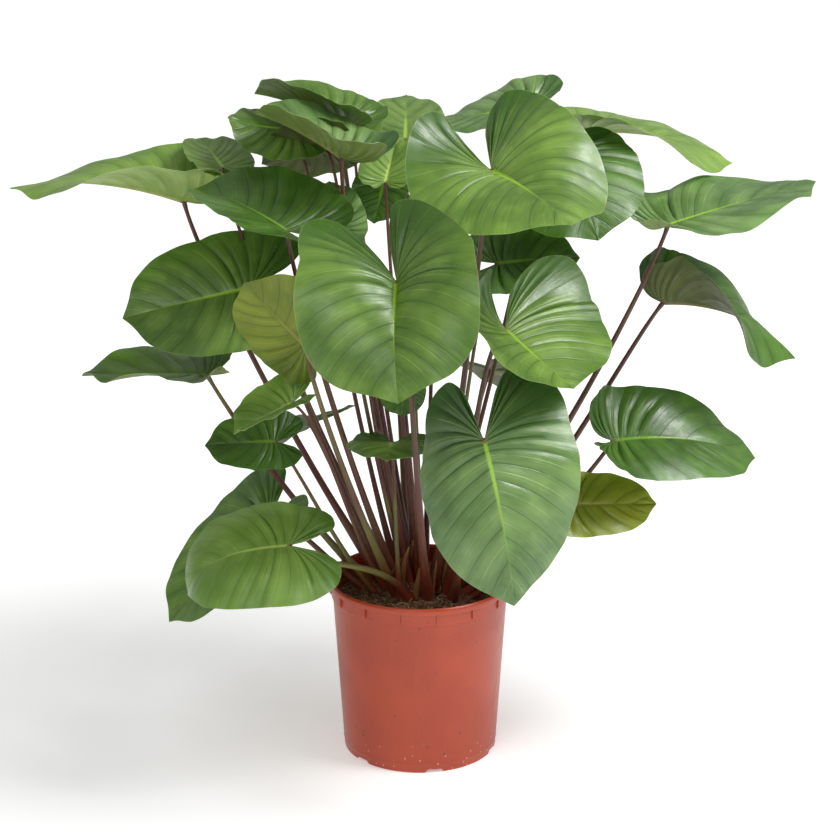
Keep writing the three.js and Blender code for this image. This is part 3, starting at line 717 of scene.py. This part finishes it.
moved = addNode(stalkTree, "GeometryNodeSetPosition", i0=stored.outputs[0],
                Offset=vectorMaths(stalkTree, "SCALE", i0=normal, Scale=ribHeight))
finishTree(stalkTree, moved.outputs[0], given["Material"], out)

# Finish of the stalks: reddish at the soil, maroon-brown above, with olive streaks along them
stalkLook = {
    "base": paint(150, 56, 28), "low": paint(104, 42, 30), "high": paint(92, 44, 36),
    "streak": paint(118, 92, 54), "dark": paint(46, 20, 18), "green": paint(116, 118, 54),
}


def stalkMaterial(name, greenShare):
    material, tree, shader = newMaterial(name, 0.42, 0.08)
    measures = addNode(tree, "ShaderNodeAttribute", {"attribute_name": "stalkMeasures"}).outputs["Vector"]
    drawn, place = stretch(tree, measures, (1.0, 1.0, 7.0)), objectPlace(tree)
    lengthwise = split(tree, measures)[2]
    fine = cloudMask(tree, drawn, 9.0, 5.0, 0.3, 0.7)
    colour = blendColours(tree, ramp(tree, lengthwise, 0.1, 0.4), stalkLook["low"], stalkLook["high"])
    colour = layered(tree, colour, [
        (fine, 0.5, stalkLook["dark"]),
        (cloudMask(tree, drawn, 2.6, 4.0, 0.48, 0.66), 0.3, stalkLook["streak"]),
        (cloudMask(tree, place, 7.0, 2.0, 0.42, 0.6), greenShare, stalkLook["green"]),
        (ramp(tree, lengthwise, 0.02, 0.09, 0.5, 0.0), 1, stalkLook["base"]),
        (spotMask(tree, place, 420.0, 0.3, 0.7), 0.35, stalkLook["streak"])])
    tree.links.new(colour, shader.inputs["Base Color"])
    tree.links.new(ramp(tree, fine, 0.0, 1.0, 0.36, 0.56), shader.inputs["Roughness"])
    addBump(tree, shader, fine, 0.35, 0.0006)
    return material


stalkRed = stalkMaterial("stalkRed", 0.15)
stalkGreen = stalkMaterial("stalkGreen", 0.7)
greenStalks = ("left_under", "left_dark", "top_back", "under_small", "rear_left", "back_right", "mid_small",
               "tiny_upright", "left_mid", "low_left_front")

for leaf in leaves:
    points = stalkPoints(leaf)
    small = leaf.get("extra") or max(leaf["size"]) < stalk["smallBelow"]
    u = np.linspace(0, 1, len(points))
    radius = stalk["baseRadius"] + (stalk["topRadius"] - stalk["baseRadius"]) * u ** stalk["taper"]
    radius *= 1 + stalk["sheathSwell"] * np.exp(-(u / stalk["sheathLength"]) ** 2)
    radius *= 1 + stalk["neckSwell"] * smooth(u, *stalk["neckRange"])
    route = bpy.data.curves.new("route", "CURVE")
    route.dimensions = "3D"
    spline = route.splines.new("POLY")
    spline.points.add(len(points) - 1)
    spline.points.foreach_set("co", np.hstack([points * mm, np.ones((len(points), 1))]).ravel())
    spline.points.foreach_set("radius", radius * mm * (stalk["smallShare"] if small else 1.0))
    piece = runTree(addObject("route", route), stalkTree, "stem_" + leaf["name"], "stalk",
                    Sides=stalk["sides"], Ridges=stalk["ridges"] * 2 * mm,
                    Material=stalkGreen if leaf["name"] in greenStalks else stalkRed)
    if not leaf.get("extra"):
        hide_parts("stalk_" + leaf["name"])
print("stalks:", len(leaves))

# Pot: a turned wall with a rolled lip, a collar with small ribs, a foot with notches and drain holes
pot = {
    "height": 238, "rimRadius": 120.5, "lipDepth": 9.5, "collarDepth": 17, "collarRadius": 117,
    "shoulderRadius": 115, "footRadius": 101, "wall": 2.6, "footRise": 6, "footRing": 7, "floor": 3,
    "centrePad": 30, "ribs": 15, "ribFirst": -13, "ribWide": 2.4,
    "notches": 6, "notchFirst": 11, "notchWide": 25, "notchRise": 4.8, "notchEase": (2.6, 0.6),
    "drains": 8, "drainRadius": 5.5, "drainCircle": 62, "drainBorder": 12,
    "segments": 180, "floorSegments": 64,
}


def wallRadius(height):
    shoulder = pot["height"] - pot["lipDepth"] - pot["collarDepth"]
    return pot["footRadius"] + (pot["shoulderRadius"] - pot["footRadius"]) * height / shoulder


def corner(before, at, after, radius, steps=4):
    # rounds a corner of an outline
    at, before, after = np.array(at, float), np.array(before, float), np.array(after, float)
    one, two = before - at, after - at
    reach = min(radius, 0.45 * np.linalg.norm(one), 0.45 * np.linalg.norm(two))
    start, end = at + one / np.linalg.norm(one) * reach, at + two / np.linalg.norm(two) * reach
    shares = np.linspace(0, 1, steps + 1)
    return [tuple((1 - t) ** 2 * start + 2 * t * (1 - t) * at + t * t * end) for t in shares]


def roundedLine(points):
    # points are (radius, height, rounding)
    line = [points[0][:2]]
    for before, at, after in zip(points, points[1:], points[2:]):
        line += corner(before[:2], at[:2], after[:2], at[2]) if at[2] else [at[:2]]
    return line + [points[-1][:2]]


def spin(line, segments):
    # turns an outline round the upright axis
    count = len(line)
    angles = np.linspace(0, 2 * math.pi, segments, endpoint=False)
    line = np.array(line, float)
    points = np.stack([line[None, :, 0] * np.cos(angles)[:, None], line[None, :, 0] * np.sin(angles)[:, None],
                       np.repeat(line[None, :, 1], segments, 0)], 2).reshape(-1, 3)
    faces = []
    for s in range(segments):
        a, b = s * count, (s + 1) % segments * count
        faces += [(a + k, b + k, b + k + 1, a + k + 1) for k in range(count - 1)]
    return points, faces


def polar(radius, angle):
    return radius * math.cos(angle), radius * math.sin(angle)


def buildPot():
    lipBottom = pot["height"] - pot["lipDepth"]
    collarBottom = lipBottom - pot["collarDepth"]
    floorTop = pot["footRise"] + pot["floor"]
    outer, inner = pot["drainCircle"] + pot["drainBorder"], pot["drainCircle"] - pot["drainBorder"]
    ringInner = pot["footRadius"] - pot["footRing"]
    inside = pot["collarRadius"] - pot["wall"]
    line = roundedLine([
        (outer, pot["footRise"], 0),
        (ringInner - pot["footRise"], pot["footRise"], 2), (ringInner, 0, 1.5), (pot["footRadius"] - 1.2,
                                                                                 0, 0.8),
        (pot["footRadius"], 1.2, 0.8), (wallRadius(11), 11, 0), (wallRadius(12.5) + 0.5, 12.5, 0.4),
        (wallRadius(14) + 0.1, 14, 0.4), (wallRadius(120), 120, 0),
        (wallRadius(collarBottom), collarBottom, 0.6), (pot["collarRadius"], collarBottom + 1.6, 0.8),
        (pot["collarRadius"] + 0.3, lipBottom - 0.2, 1.2), (pot["rimRadius"] - 0.8, lipBottom, 0.8),
        (pot["rimRadius"], lipBottom + 1.6, 1.2), (pot["rimRadius"] + 0.1, pot["height"] - 2.8, 2.4),
        (pot["rimRadius"] - 2.3, pot["height"], 2.2), (inside + 1.6, pot["height"] - 0.8, 1.8),
        (inside, pot["height"] - 4, 2), (inside, collarBottom + 2, 1.5),
        (wallRadius(collarBottom) - pot["wall"], collarBottom - 1, 1.5),
        (wallRadius(floorTop) - pot["wall"], floorTop, 2),
        (outer, floorTop, 0)])
    points, faces = spin(line, pot["segments"])
    # foot notches: the ring's points rise where a notch is
    angle = np.degrees(np.arctan2(points[:, 1], points[:, 0])) + 90
    low = (points[:, 2] < 4.5) & (np.hypot(points[:, 0], points[:, 1]) > ringInner - 3)
    turn = 360 / pot["notches"]
    off = np.abs((angle - pot["notchFirst"] + turn / 2) % turn - turn / 2)
    offMm = np.radians(off) * pot["footRadius"]
    halfNotch, (before, after) = pot["notchWide"] / 2, pot["notchEase"]
    depth = pot["notchRise"] * (1 - smooth(offMm, halfNotch - before, halfNotch + after))
    points[:, 2] = np.where(low, np.maximum(points[:, 2], depth), points[:, 2])
    # slight warp of a thin moulded wall
    turnRound = np.radians(angle)
    warp = 0.35 * np.sin(2 * turnRound + 0.6) + 0.2 * np.sin(3 * turnRound)
    radius = np.hypot(points[:, 0], points[:, 1])
    grow = 1 + warp * smooth(points[:, 2], 20, 200) / radius
    points[:, 0] *= grow
    points[:, 1] *= grow
    points, faces = list(map(tuple, points)), list(faces)

    # ribs under the lip
    wide = pot["ribWide"] / 2
    nearOut, farOut = pot["collarRadius"] - 1.5, pot["rimRadius"] - 1.0
    for i in range(pot["ribs"]):
        middle = math.radians(pot["ribFirst"] + i * 360 / pot["ribs"] - 90)
        corners = []
        for height, narrow, back in ((collarBottom + 4, 0.5, 1.4), (collarBottom + 7, 0.0, 0.0),
                                     (lipBottom + 1, 0.0, 0.0)):
            for out, aside in ((nearOut, -wide), (farOut - back, narrow - wide),
                               (farOut - back, wide - narrow), (nearOut, wide)):
                corners.append((out * math.cos(middle) - aside * math.sin(middle),
                                out * math.sin(middle) + aside * math.cos(middle), height))
        sides = [(0, 3, 2, 1), (8, 9, 10, 11)]
        for level in (0, 4):
            sides += [(level + k, level + (k + 1) % 4, level + 4 + (k + 1) % 4, level + 4 + k)
                      for k in range(4)]
        base = len(points)
        points += corners
        faces += [tuple(base + k for k in side) for side in sides]

    # floor plate with its drain holes: rings of points round each hole, joined to the plate's edge
    arcSteps = pot["segments"] // pot["drains"] // 2 * 2 + 1
    for i in range(pot["drains"]):
        start, end = 2 * math.pi * i / pot["drains"], 2 * math.pi * (i + 1) / pot["drains"]
        centre = np.array(polar(1, 2 * math.pi * (i + 0.5) / pot["drains"])) * pot["drainCircle"]
        outline = [polar(outer, a) for a in np.linspace(start, end, arcSteps)]
        outline += [polar(r, end) for r in np.linspace(outer, inner, 6)[1:-1]]
        outline += [polar(inner, a) for a in np.linspace(end, start, 9)]
        outline += [polar(r, start) for r in np.linspace(inner, outer, 6)[1:-1]]
        count = len(outline)
        below, holeBelow, above, holeAbove = [len(points) + level * count for level in range(4)]
        for level in (pot["footRise"], floorTop):
            points += [(x, y, level) for x, y in outline]
            for x, y in outline:
                way = np.array([x, y]) - centre
                way = centre + way / np.linalg.norm(way) * pot["drainRadius"]
                points.append((way[0], way[1], level))
        for k in range(count):
            n = (k + 1) % count
            faces += [(below + k, holeBelow + k, holeBelow + n, below + n),
                      (above + k, above + n, holeAbove + n, holeAbove + k),
                      (holeBelow + k, holeAbove + k, holeAbove + n, holeBelow + n)]

    # middle of the floor, with the flat pad that the pot stands on
    pad = roundedLine([(0.01, 0, 0), (pot["centrePad"], 0, 1.5),
                       (pot["centrePad"] + pot["footRise"], pot["footRise"], 2), (inner, pot["footRise"], 0)])
    for line, flip in ((pad, False), ([(0.01, floorTop), (inner, floorTop)], True)):
        ringPoints, ringFaces = spin(line, pot["floorSegments"])
        base = len(points)
        points += map(tuple, ringPoints)
        faces += [tuple(base + k for k in (face[::-1] if flip else face)) for face in ringFaces]
    return points, faces


potLook = {
    "body": paint(176, 62, 26), "shade": paint(150, 50, 26), "light": paint(188, 86, 50),
    "dust": paint(226, 176, 150), "dirt": paint(70, 34, 24),
}
potPlastic, tree, shader = newMaterial("potPlastic", 0.36, 0.1)
place = objectPlace(tree)
height = split(tree, place)[2]
cloudy = cloudMask(tree, place, 11.0, 3.0, 0.35, 0.65)
grain = cloudMask(tree, place, 420.0, 3.0, 0.3, 0.7)
scuffs = cloudMask(tree, stretch(tree, place, (1.0, 1.0, 0.16)), 60.0, 6.0, 0.56, 0.72)
specks = times(tree, spotMask(tree, place, 210.0, 0.3, 0.86), ramp(tree, height, 0.012, 0.05, 1.0, 0.0))
# darker in patches towards the bottom of the pot
baseDarkening = times(tree, cloudMask(tree, place, 26.0, 6.0, 0.5, 0.75), ramp(tree, height, 0.0, 0.03, 1.0, 0.0))
colour = layered(tree, potLook["body"], [
    (cloudy, 0.5, potLook["shade"]), (scuffs, 0.16, potLook["light"]), (grain, 0.1, potLook["light"]),
    (specks, 0.75, potLook["dust"]), (spotMask(tree, place, 95.0, 0.22, 0.9), 0.6, potLook["dirt"]),
    (baseDarkening, 0.5, potLook["shade"])])
tree.links.new(colour, shader.inputs["Base Color"])
worn = plus(tree, times(tree, cloudy, 0.5), times(tree, scuffs, 0.5))
tree.links.new(ramp(tree, worn, 0.0, 1.0, 0.36, 0.52), shader.inputs["Roughness"])
addBump(tree, shader, plus(tree, grain, times(tree, cloudy, 1.2)), 0.12, 0.0006)

potPoints, potFaces = buildPot()
potPiece = newPiece("nursery_pot", np.array(potPoints) * mm, potFaces, [potPlastic], smoothAngle=40)
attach(potPiece, body)
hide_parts("pot")
print("pot:", len(potFaces), "faces")

# Soil: a lumpy top with crumbs, bark, white grains and pale fibres, over a plug that fills the pot
soil = {
    "top": 214, "settle": 1.5, "edge": 111, "edgeWidth": 12, "dip": 4,    # the top dips by the pot's wall
    "gap": 2.9, "plugLevels": (190, 100, 12),
    "rings": 44, "segments": 120,
    "lump": 4.2, "lumpSize": 17, "clod": 2.6, "clodSize": 6,
    "mound": 4.5, "moundPlace": 14, "moundSpread": 2600,                  # heap round the crown
}


def soilHeight(x, y):
    rise = soil["lump"] * noise.noise((x / soil["lumpSize"], y / soil["lumpSize"], 3.1))
    rise += soil["clod"] * noise.noise((x / soil["clodSize"], y / soil["clodSize"], 8.7))
    mound = soil["mound"] * math.exp(-(x * x + (y - soil["moundPlace"]) ** 2) / soil["moundSpread"])
    byWall = max(0.0, (math.hypot(x, y) - soil["edge"] + soil["edgeWidth"]) / soil["edgeWidth"])
    return soil["top"] - soil["settle"] + mound + rise - soil["dip"] * byWall**2


def soilRing(far):
    return [polar(far, 2 * math.pi * k / soil["segments"]) for k in range(soil["segments"])]


def joinRings(upper, lower, count):
    # faces between two rings of points, given by the number of each ring's first point
    return [(upper + k, lower + k, lower + (k + 1) % count, upper + (k + 1) % count) for k in range(count)]


count = soil["segments"]
soilPoints = [(0, 0, soilHeight(0, 0))]
for ring in range(1, soil["rings"] + 1):
    soilPoints += [(x, y, soilHeight(x, y)) for x, y in soilRing(soil["edge"] * ring / soil["rings"])]
soilFaces = [(0, 1 + k, 1 + (k + 1) % count) for k in range(count)]
for ring in range(soil["rings"] - 1):
    soilFaces += joinRings(1 + ring * count, 1 + (ring + 1) * count, count)
topFaces = len(soilFaces)
lastRing = 1 + (soil["rings"] - 1) * count
for level in soil["plugLevels"]:
    lower = len(soilPoints)
    soilPoints += [(x, y, level) for x, y in soilRing(wallRadius(level) - soil["gap"])]
    soilFaces += joinRings(lastRing, lower, count)
    lastRing = lower
soilFaces.append(tuple(lastRing + k for k in range(count))[::-1])

earth = {"dark": paint(60, 37, 24), "mid": paint(116, 76, 50), "light": paint(168, 128, 92),
         "fibre": paint(190, 156, 116)}


def earthMaterial(name, dark, mid, light, roughness=0.92, streak=1.0):
    material, tree, shader = newMaterial(name, roughness)
    drawn = stretch(tree, objectPlace(tree), (1.0, streak, streak))
    clods = cloudMask(tree, drawn, 130.0, 6.0, 0.36, 0.62)
    bits = cloudMask(tree, drawn, 420.0, 4.0, 0.52, 0.66)
    colour = layered(tree, blendColours(tree, clods, dark, mid), [(bits, 0.5, light)])
    tree.links.new(colour, shader.inputs["Base Color"])
    addBump(tree, shader, plus(tree, clods, times(tree, bits, 0.5)), 0.8, 0.0016)
    return material


peat = earthMaterial("peat", earth["dark"], earth["mid"], earth["light"])
bark = earthMaterial("bark", paint(74, 42, 26), paint(128, 82, 52), paint(164, 118, 80), 0.8, 3.0)
strand = earthMaterial("strand", paint(120, 90, 62), earth["fibre"], paint(206, 178, 140), 0.8)
perlite, tree, shader = newMaterial("perlite", 0.85)
pores = cloudMask(tree, objectPlace(tree), 900.0, 3.0, 0.35, 0.7)
tree.links.new(blendColours(tree, pores, paint(170, 156, 138), paint(226, 220, 206)),
               shader.inputs["Base Color"])
addBump(tree, shader, pores, 0.5, 0.0008)

soilPiece = newPiece("peat_soil", np.array(soilPoints) * mm, soilFaces, [peat], smoothAngle=60)
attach(soilPiece, body)
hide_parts("soil")
print("soil:", len(soilFaces), "faces")

halfTurn = 3.14159


def scatter(tree, given, thing, tilt, scale):
    # copies of a thing over a surface, each turned its own way and leaning no more than the tilt
    spread = addNode(tree, "GeometryNodeDistributePointsOnFaces", i0=given["Geometry"],
                     Density=given["Amount"], Seed=given["Seed"])
    most = addNode(tree, "ShaderNodeCombineXYZ", i0=tilt, i1=tilt, i2=halfTurn).outputs[0]
    least = vectorMaths(tree, "SCALE", i0=most, Scale=-1.0)
    turns = addNode(tree, "FunctionNodeRandomValue", {"data_type": "FLOAT_VECTOR"}, i0=least, i1=most,
                    Seed=given["Seed"])
    placed = addNode(tree, "GeometryNodeInstanceOnPoints", Points=spread.outputs[0], Instance=thing,
                     Rotation=turns.outputs[0], Scale=scale)
    return addNode(tree, "GeometryNodeRealizeInstances", i0=placed.outputs[0]).outputs[0]


def disturb(tree, geometry, noiseScale, centre, amount):
    # moves each point by a noise
    cloud = addNode(tree, "ShaderNodeTexNoise", Scale=noiseScale, Detail=1.0)
    centred = vectorMaths(tree, "SUBTRACT", i0=cloud.outputs["Color"], i1=centre)
    return addNode(tree, "GeometryNodeSetPosition", i0=geometry,
                   Offset=vectorMaths(tree, "SCALE", i0=centred, Scale=amount)).outputs[0]


# Crumb tree: lumps scattered over a surface, each turned, stretched and dented in its own way
crumbTree, given, out = addGeometryTree("crumbs", [
    ("Amount", "Float", 1000.0), ("Low size", "Vector", None), ("High size", "Vector", None),
    ("Dent", "Float", 0.001), ("Detail", "Int", 2), ("Tilt", "Float", 0.6), ("Seed", "Int", 1),
    ("Material", "Material", None)])
lump = addNode(crumbTree, "GeometryNodeMeshIcoSphere", Radius=1.0, Subdivisions=given["Detail"])
sized = addNode(crumbTree, "FunctionNodeRandomValue", {"data_type": "FLOAT_VECTOR"}, i0=given["Low size"],
                i1=given["High size"], Seed=plus(crumbTree, given["Seed"], 7))
lumps = scatter(crumbTree, given, lump.outputs[0], given["Tilt"], sized.outputs[0])
finishTree(crumbTree, disturb(crumbTree, lumps, 260.0, (0.5, 0.5, 0.5), given["Dent"]), given["Material"],
           out,
           False)

# Fibre tree: short bent strands laid over a surface
fibreTree, given, out = addGeometryTree("fibres", [
    ("Amount", "Float", 1000.0), ("Length", "Float", 0.02), ("Curl", "Float", 0.01),
    ("Thickness", "Float", 0.0003), ("Lean", "Float", 0.5), ("Seed", "Int", 1), ("Material", "Material",
                                                                                 None)])
strandLine = addNode(fibreTree, "GeometryNodeCurveQuadraticBezier", Resolution=7, Start=(-0.5, 0.0, 0.0),
                     Middle=(0.0, 0.35, 0.25), End=(0.5, 0.0, 0.0))
longer = addNode(fibreTree, "FunctionNodeRandomValue", {"data_type": "FLOAT"}, i2=0.35, i3=1.0,
                 Seed=plus(fibreTree, given["Seed"], 3))
lines = scatter(fibreTree, given, strandLine.outputs[0], given["Lean"],
                times(fibreTree, longer.outputs[1], given["Length"]))
bent = disturb(fibreTree, lines, 60.0, (0.5, 0.5, 0.42), given["Curl"])
roundLine = addNode(fibreTree, "GeometryNodeCurvePrimitiveCircle", Resolution=4, Radius=given["Thickness"])
strandTube = addNode(fibreTree, "GeometryNodeCurveToMesh", i0=bent, i1=roundLine.outputs[0])
finishTree(fibreTree, strandTube.outputs[0], given["Material"], out)


def soilSheet():
    # the part of the soil's top that loose bits lie on
    kept = [face for face in soilFaces[:topFaces]
            if max(math.hypot(soilPoints[k][0], soilPoints[k][1]) for k in face) < soil["edge"] - 3]
    mesh = bpy.data.meshes.new("sheet")
    mesh.from_pydata([tuple(c * mm for c in p) for p in soilPoints], [], kept)
    return addObject("sheet", mesh)


loose = [
    dict(name="soil_crumbs", Amount=38000.0, low=(0.7, 0.6, 0.5), high=(2.4, 2.0, 1.6), Dent=0.0016, Detail=1,
         Tilt=1.5, Seed=3, Material=peat),
    dict(name="soil_clods", Amount=6000.0, low=(2.0, 1.8, 1.4), high=(4.8, 4.2, 3.2), Dent=0.004, Detail=2,
         Tilt=1.5, Seed=11, Material=peat),
    dict(name="bark_chips", Amount=3600.0, low=(1.6, 0.8, 0.4), high=(6.5, 2.6, 1.1), Dent=0.0022, Detail=2,
         Tilt=0.6, Seed=23, Material=bark),
    dict(name="white_grains", Amount=1800.0, low=(0.7, 0.6, 0.6), high=(2.1, 1.8, 1.6), Dent=0.001, Detail=2,
         Tilt=1.5, Seed=31, Material=perlite),
]
for bits in loose:
    name, low, high = (bits.pop(key) for key in ("name", "low", "high"))
    sizes = {"Low size": [v * mm for v in low], "High size": [v * mm for v in high]}
    piece = runTree(soilSheet(), crumbTree, name, "soil", **sizes, **bits)
    print(name + ":", len(piece.data.polygons), "faces")
for name, amount, length, thickness, lean, seed in (
        ("soil_fibres", 12000.0, 0.014, 0.0003, 0.6, 5), ("soil_strands", 2600.0, 0.026, 0.0005, 0.5, 17)):
    piece = runTree(soilSheet(), fibreTree, name, "soil", Amount=amount, Length=length, Curl=0.012,
                    Thickness=thickness, Lean=lean, Seed=seed, Material=strand)
    print(name + ":", len(piece.data.polygons), "faces")

# Crown: the ridged stem base that the stalks grow from
crown = {"radii": (60, 44, 26), "centre": (0, 12, 195), "rows": 26, "columns": 96, "ridges": 23,
         "ridge": 1.6 / 44, "lump": 4.0 / 44}      # heights as a share of the crown's size
crownPoints, crownFaces = [], []
columns = crown["columns"]
for i in range(crown["rows"] + 1):
    lift = math.pi / 2 * (1 - i / crown["rows"])
    for k in range(columns):
        around = 2 * math.pi * k / columns
        way = Vector((math.cos(lift) * math.cos(around), math.cos(lift) * math.sin(around), math.sin(lift)))
        grow = 1 + crown["lump"] * noise.noise(way * 3.2)
        grow += crown["ridge"] * math.sin(around * crown["ridges"] + 2 * noise.noise(way * 2)) * math.cos(lift)
        crownPoints.append([crown["centre"][c] + crown["radii"][c] * way[c] * grow for c in range(3)])
for i in range(crown["rows"]):
    crownFaces += joinRings(i * columns, (i + 1) * columns, columns)
crownFaces.append(tuple(crown["rows"] * columns + k for k in range(columns))[::-1])
crownBark = earthMaterial("crownBark", paint(58, 32, 22), paint(110, 62, 38), paint(140, 96, 58), 0.75, 0.4)
crownPiece = newPiece("stem_base", np.array(crownPoints) * mm, crownFaces, [crownBark],
                      smoothAngle=50)
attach(crownPiece, body)
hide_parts("crown")

# Sheaths: thin scale leaves that stand round the bases of the stalks
sheathMaterial, tree, shader = newMaterial("sheath", 0.5, 0.0, 0.1)
measures = addNode(tree, "ShaderNodeUVMap", {"uv_map": "sheathMap"}).outputs[0]
stripes = cloudMask(tree, stretch(tree, measures, (14.0, 1.6, 1.0)), 2.0, 4.0, 0.35, 0.65)
up = split(tree, measures)[1]
colour = layered(tree, paint(150, 112, 62), [
    (stripes, 1, paint(112, 66, 40)), (ramp(tree, up, 0.0, 0.4, 0.8, 0.0), 1, paint(126, 58, 36)),
    (ramp(tree, up, 0.82, 1.0), 1, paint(158, 128, 84))])
tree.links.new(colour, shader.inputs["Base Color"])
addBump(tree, shader, stripes, 0.4, 0.0006)

sheath = {
    "rows": 22, "columns": 8, "bottom": 206.0,
    "cup": 1.9, "cupDepth": 0.9,                   # half angle of the hollow, and how deep it is
    "halfThickness": 0.35, "tipHalfWidth": 0.25, "flare": 0.5, "sway": 1.5,
}
sheaths = [  # place, compass angle that the hollow side faces, height, width, lean outward
    (18, -22, 200, 96, 9, 0.10), (-2, -26, 150, 78, 11, 0.16), (34, -14, 240, 70, 10, 0.2),
    (-22, -16, 120, 84, 10, 0.2), (-40, -2, 160, 60, 12, 0.3), (46, 8, 10, 66, 11, 0.25),
    (8, -16, 180, 58, 12, 0.1), (-10, 34, 90, 74, 11, 0.2), (30, 40, 60, 62, 10, 0.25),
]
rows, columns = sheath["rows"], sheath["columns"]
wide = columns + 1
sheetCount = (rows + 1) * wide
border = list(range(wide)) + [r * wide + columns for r in range(1, rows + 1)]
border += [rows * wide + c for c in range(columns - 1, -1, -1)] + [r * wide for r in range(rows - 1, 0, -1)]
for i, (x, y, facing, tall, width, lean) in enumerate(sheaths):
    turned = math.radians(facing)
    outward = np.array([-math.cos(turned), -math.sin(turned), 0.0])
    sideways = np.array([-outward[1], outward[0], 0.0])
    sheathPoints, sheathFaces, sheathUvs = [], [], []
    for side in (1, -1):
        for r in range(rows + 1):
            v = r / rows
            halfWidth = width / 2 * (1.15 - 0.25 * v) * (1 - v**3) ** 0.7 + sheath["tipHalfWidth"]
            for c in range(columns + 1):
                u = 2 * c / columns - 1
                bow = sheath["cup"] * u * (1 - 0.35 * v)
                sway = sheath["sway"] * math.sin(v * 3 + i)
                centre = np.array([x, y, sheath["bottom"]]) + outward * (lean * tall * v * v + sway)
                centre[2] += tall * v
                flare = sheath["flare"] * math.sin(v * 9 + i * 2) * u * u
                hollow = halfWidth * (math.cos(bow) - 1) * sheath["cupDepth"] + flare
                hollow += side * sheath["halfThickness"] * (1 - 0.6 * v)
                across = sideways * halfWidth * math.sin(bow) * sheath["cupDepth"]
                sheathPoints.append(centre + across + outward * hollow)
                sheathUvs.append((u * 0.5 + i, v))
    for r in range(rows):
        for c in range(columns):
            a = r * wide + c
            ring = (a, a + 1, a + wide + 1, a + wide)
            sheathFaces += [ring, tuple(sheetCount + k for k in ring[::-1])]
    for a, b in zip(border, border[1:] + border[:1]):
        sheathFaces.append((a, sheetCount + a, sheetCount + b, b))
    piece = newPiece("sheath_" + str(i + 1), np.array(sheathPoints) * mm, sheathFaces,
                     [sheathMaterial])
    uv = piece.data.uv_layers.new(name="sheathMap")
    for loop in piece.data.loops:
        uv.data[loop.index].uv = sheathUvs[loop.vertex_index]
    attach(piece, body)
print("crown and", len(sheaths), "sheaths")

# Stage: pale floor that glows a little more further off, camera at the photo's angle and soft light
floor = {"reach": 30, "grey": (0.93, 0.93, 0.93, 1), "glowFrom": 0.4, "glowTo": 2.2, "near": 0.33,
         "far": 0.65}
reach = floor["reach"]
floorMesh = bpy.data.meshes.new("floor")
floorMesh.from_pydata([(-reach, -reach, 0), (reach, -reach, 0), (reach, reach, 0), (-reach, reach, 0)], [],
                      [(0, 1, 2, 3)])
floorPiece = addObject("floor", floorMesh)
floorPaint, tree, shader = newMaterial("floorPaint", 0.9)
shader.inputs["Base Color"].default_value = floor["grey"]
shader.inputs["Emission Color"].default_value = (1, 1, 1, 1)
away = addNode(tree, "ShaderNodeVectorMath", {"operation": "LENGTH"}, i0=objectPlace(tree)).outputs["Value"]
glow = ramp(tree, away, floor["glowFrom"], floor["glowTo"], floor["near"], floor["far"])
tree.links.new(glow, shader.inputs["Emission Strength"])
floorMesh.materials.append(floorPaint)

view = {"sensor": 36, "lens": 2440 / 840 * 36, "place": (0, -3.0, 1.41), "downward": 17.7, "sky": 0.36}
camera = bpy.data.cameras.new("camera")
camera.sensor_width = view["sensor"]
camera.lens = view["lens"]
camera.clip_end = 200
eye = addObject("camera", camera)
eye.location = view["place"]
eye.rotation_euler = (math.radians(90 - view["downward"]), 0, 0)
bpy.context.scene.camera = eye
bpy.context.scene.view_settings.view_transform = "Standard"

world = bpy.data.worlds.new("studio")
bpy.context.scene.world = world
world.use_nodes = True
world.node_tree.nodes["Background"].inputs[0].default_value = (1, 1, 1, 1)
world.node_tree.nodes["Background"].inputs[1].default_value = view["sky"]

lamps = [  # name, place, aim, size, power
    ("key", (1.7, -0.5, 2.8), (0, 0, 0.5), 1.3, 84),
    ("front", (-0.7, -2.6, 2.5), (0, 0, 0.6), 1.6, 22),
]
for name, place, aim, size, power in lamps:
    light = bpy.data.lights.new(name, "AREA")
    light.size = size
    light.energy = power
    lamp = addObject(name, light)
    lamp.location = place
    lamp.rotation_euler = (Vector(aim) - Vector(place)).to_track_quat("-Z", "Y").to_euler()
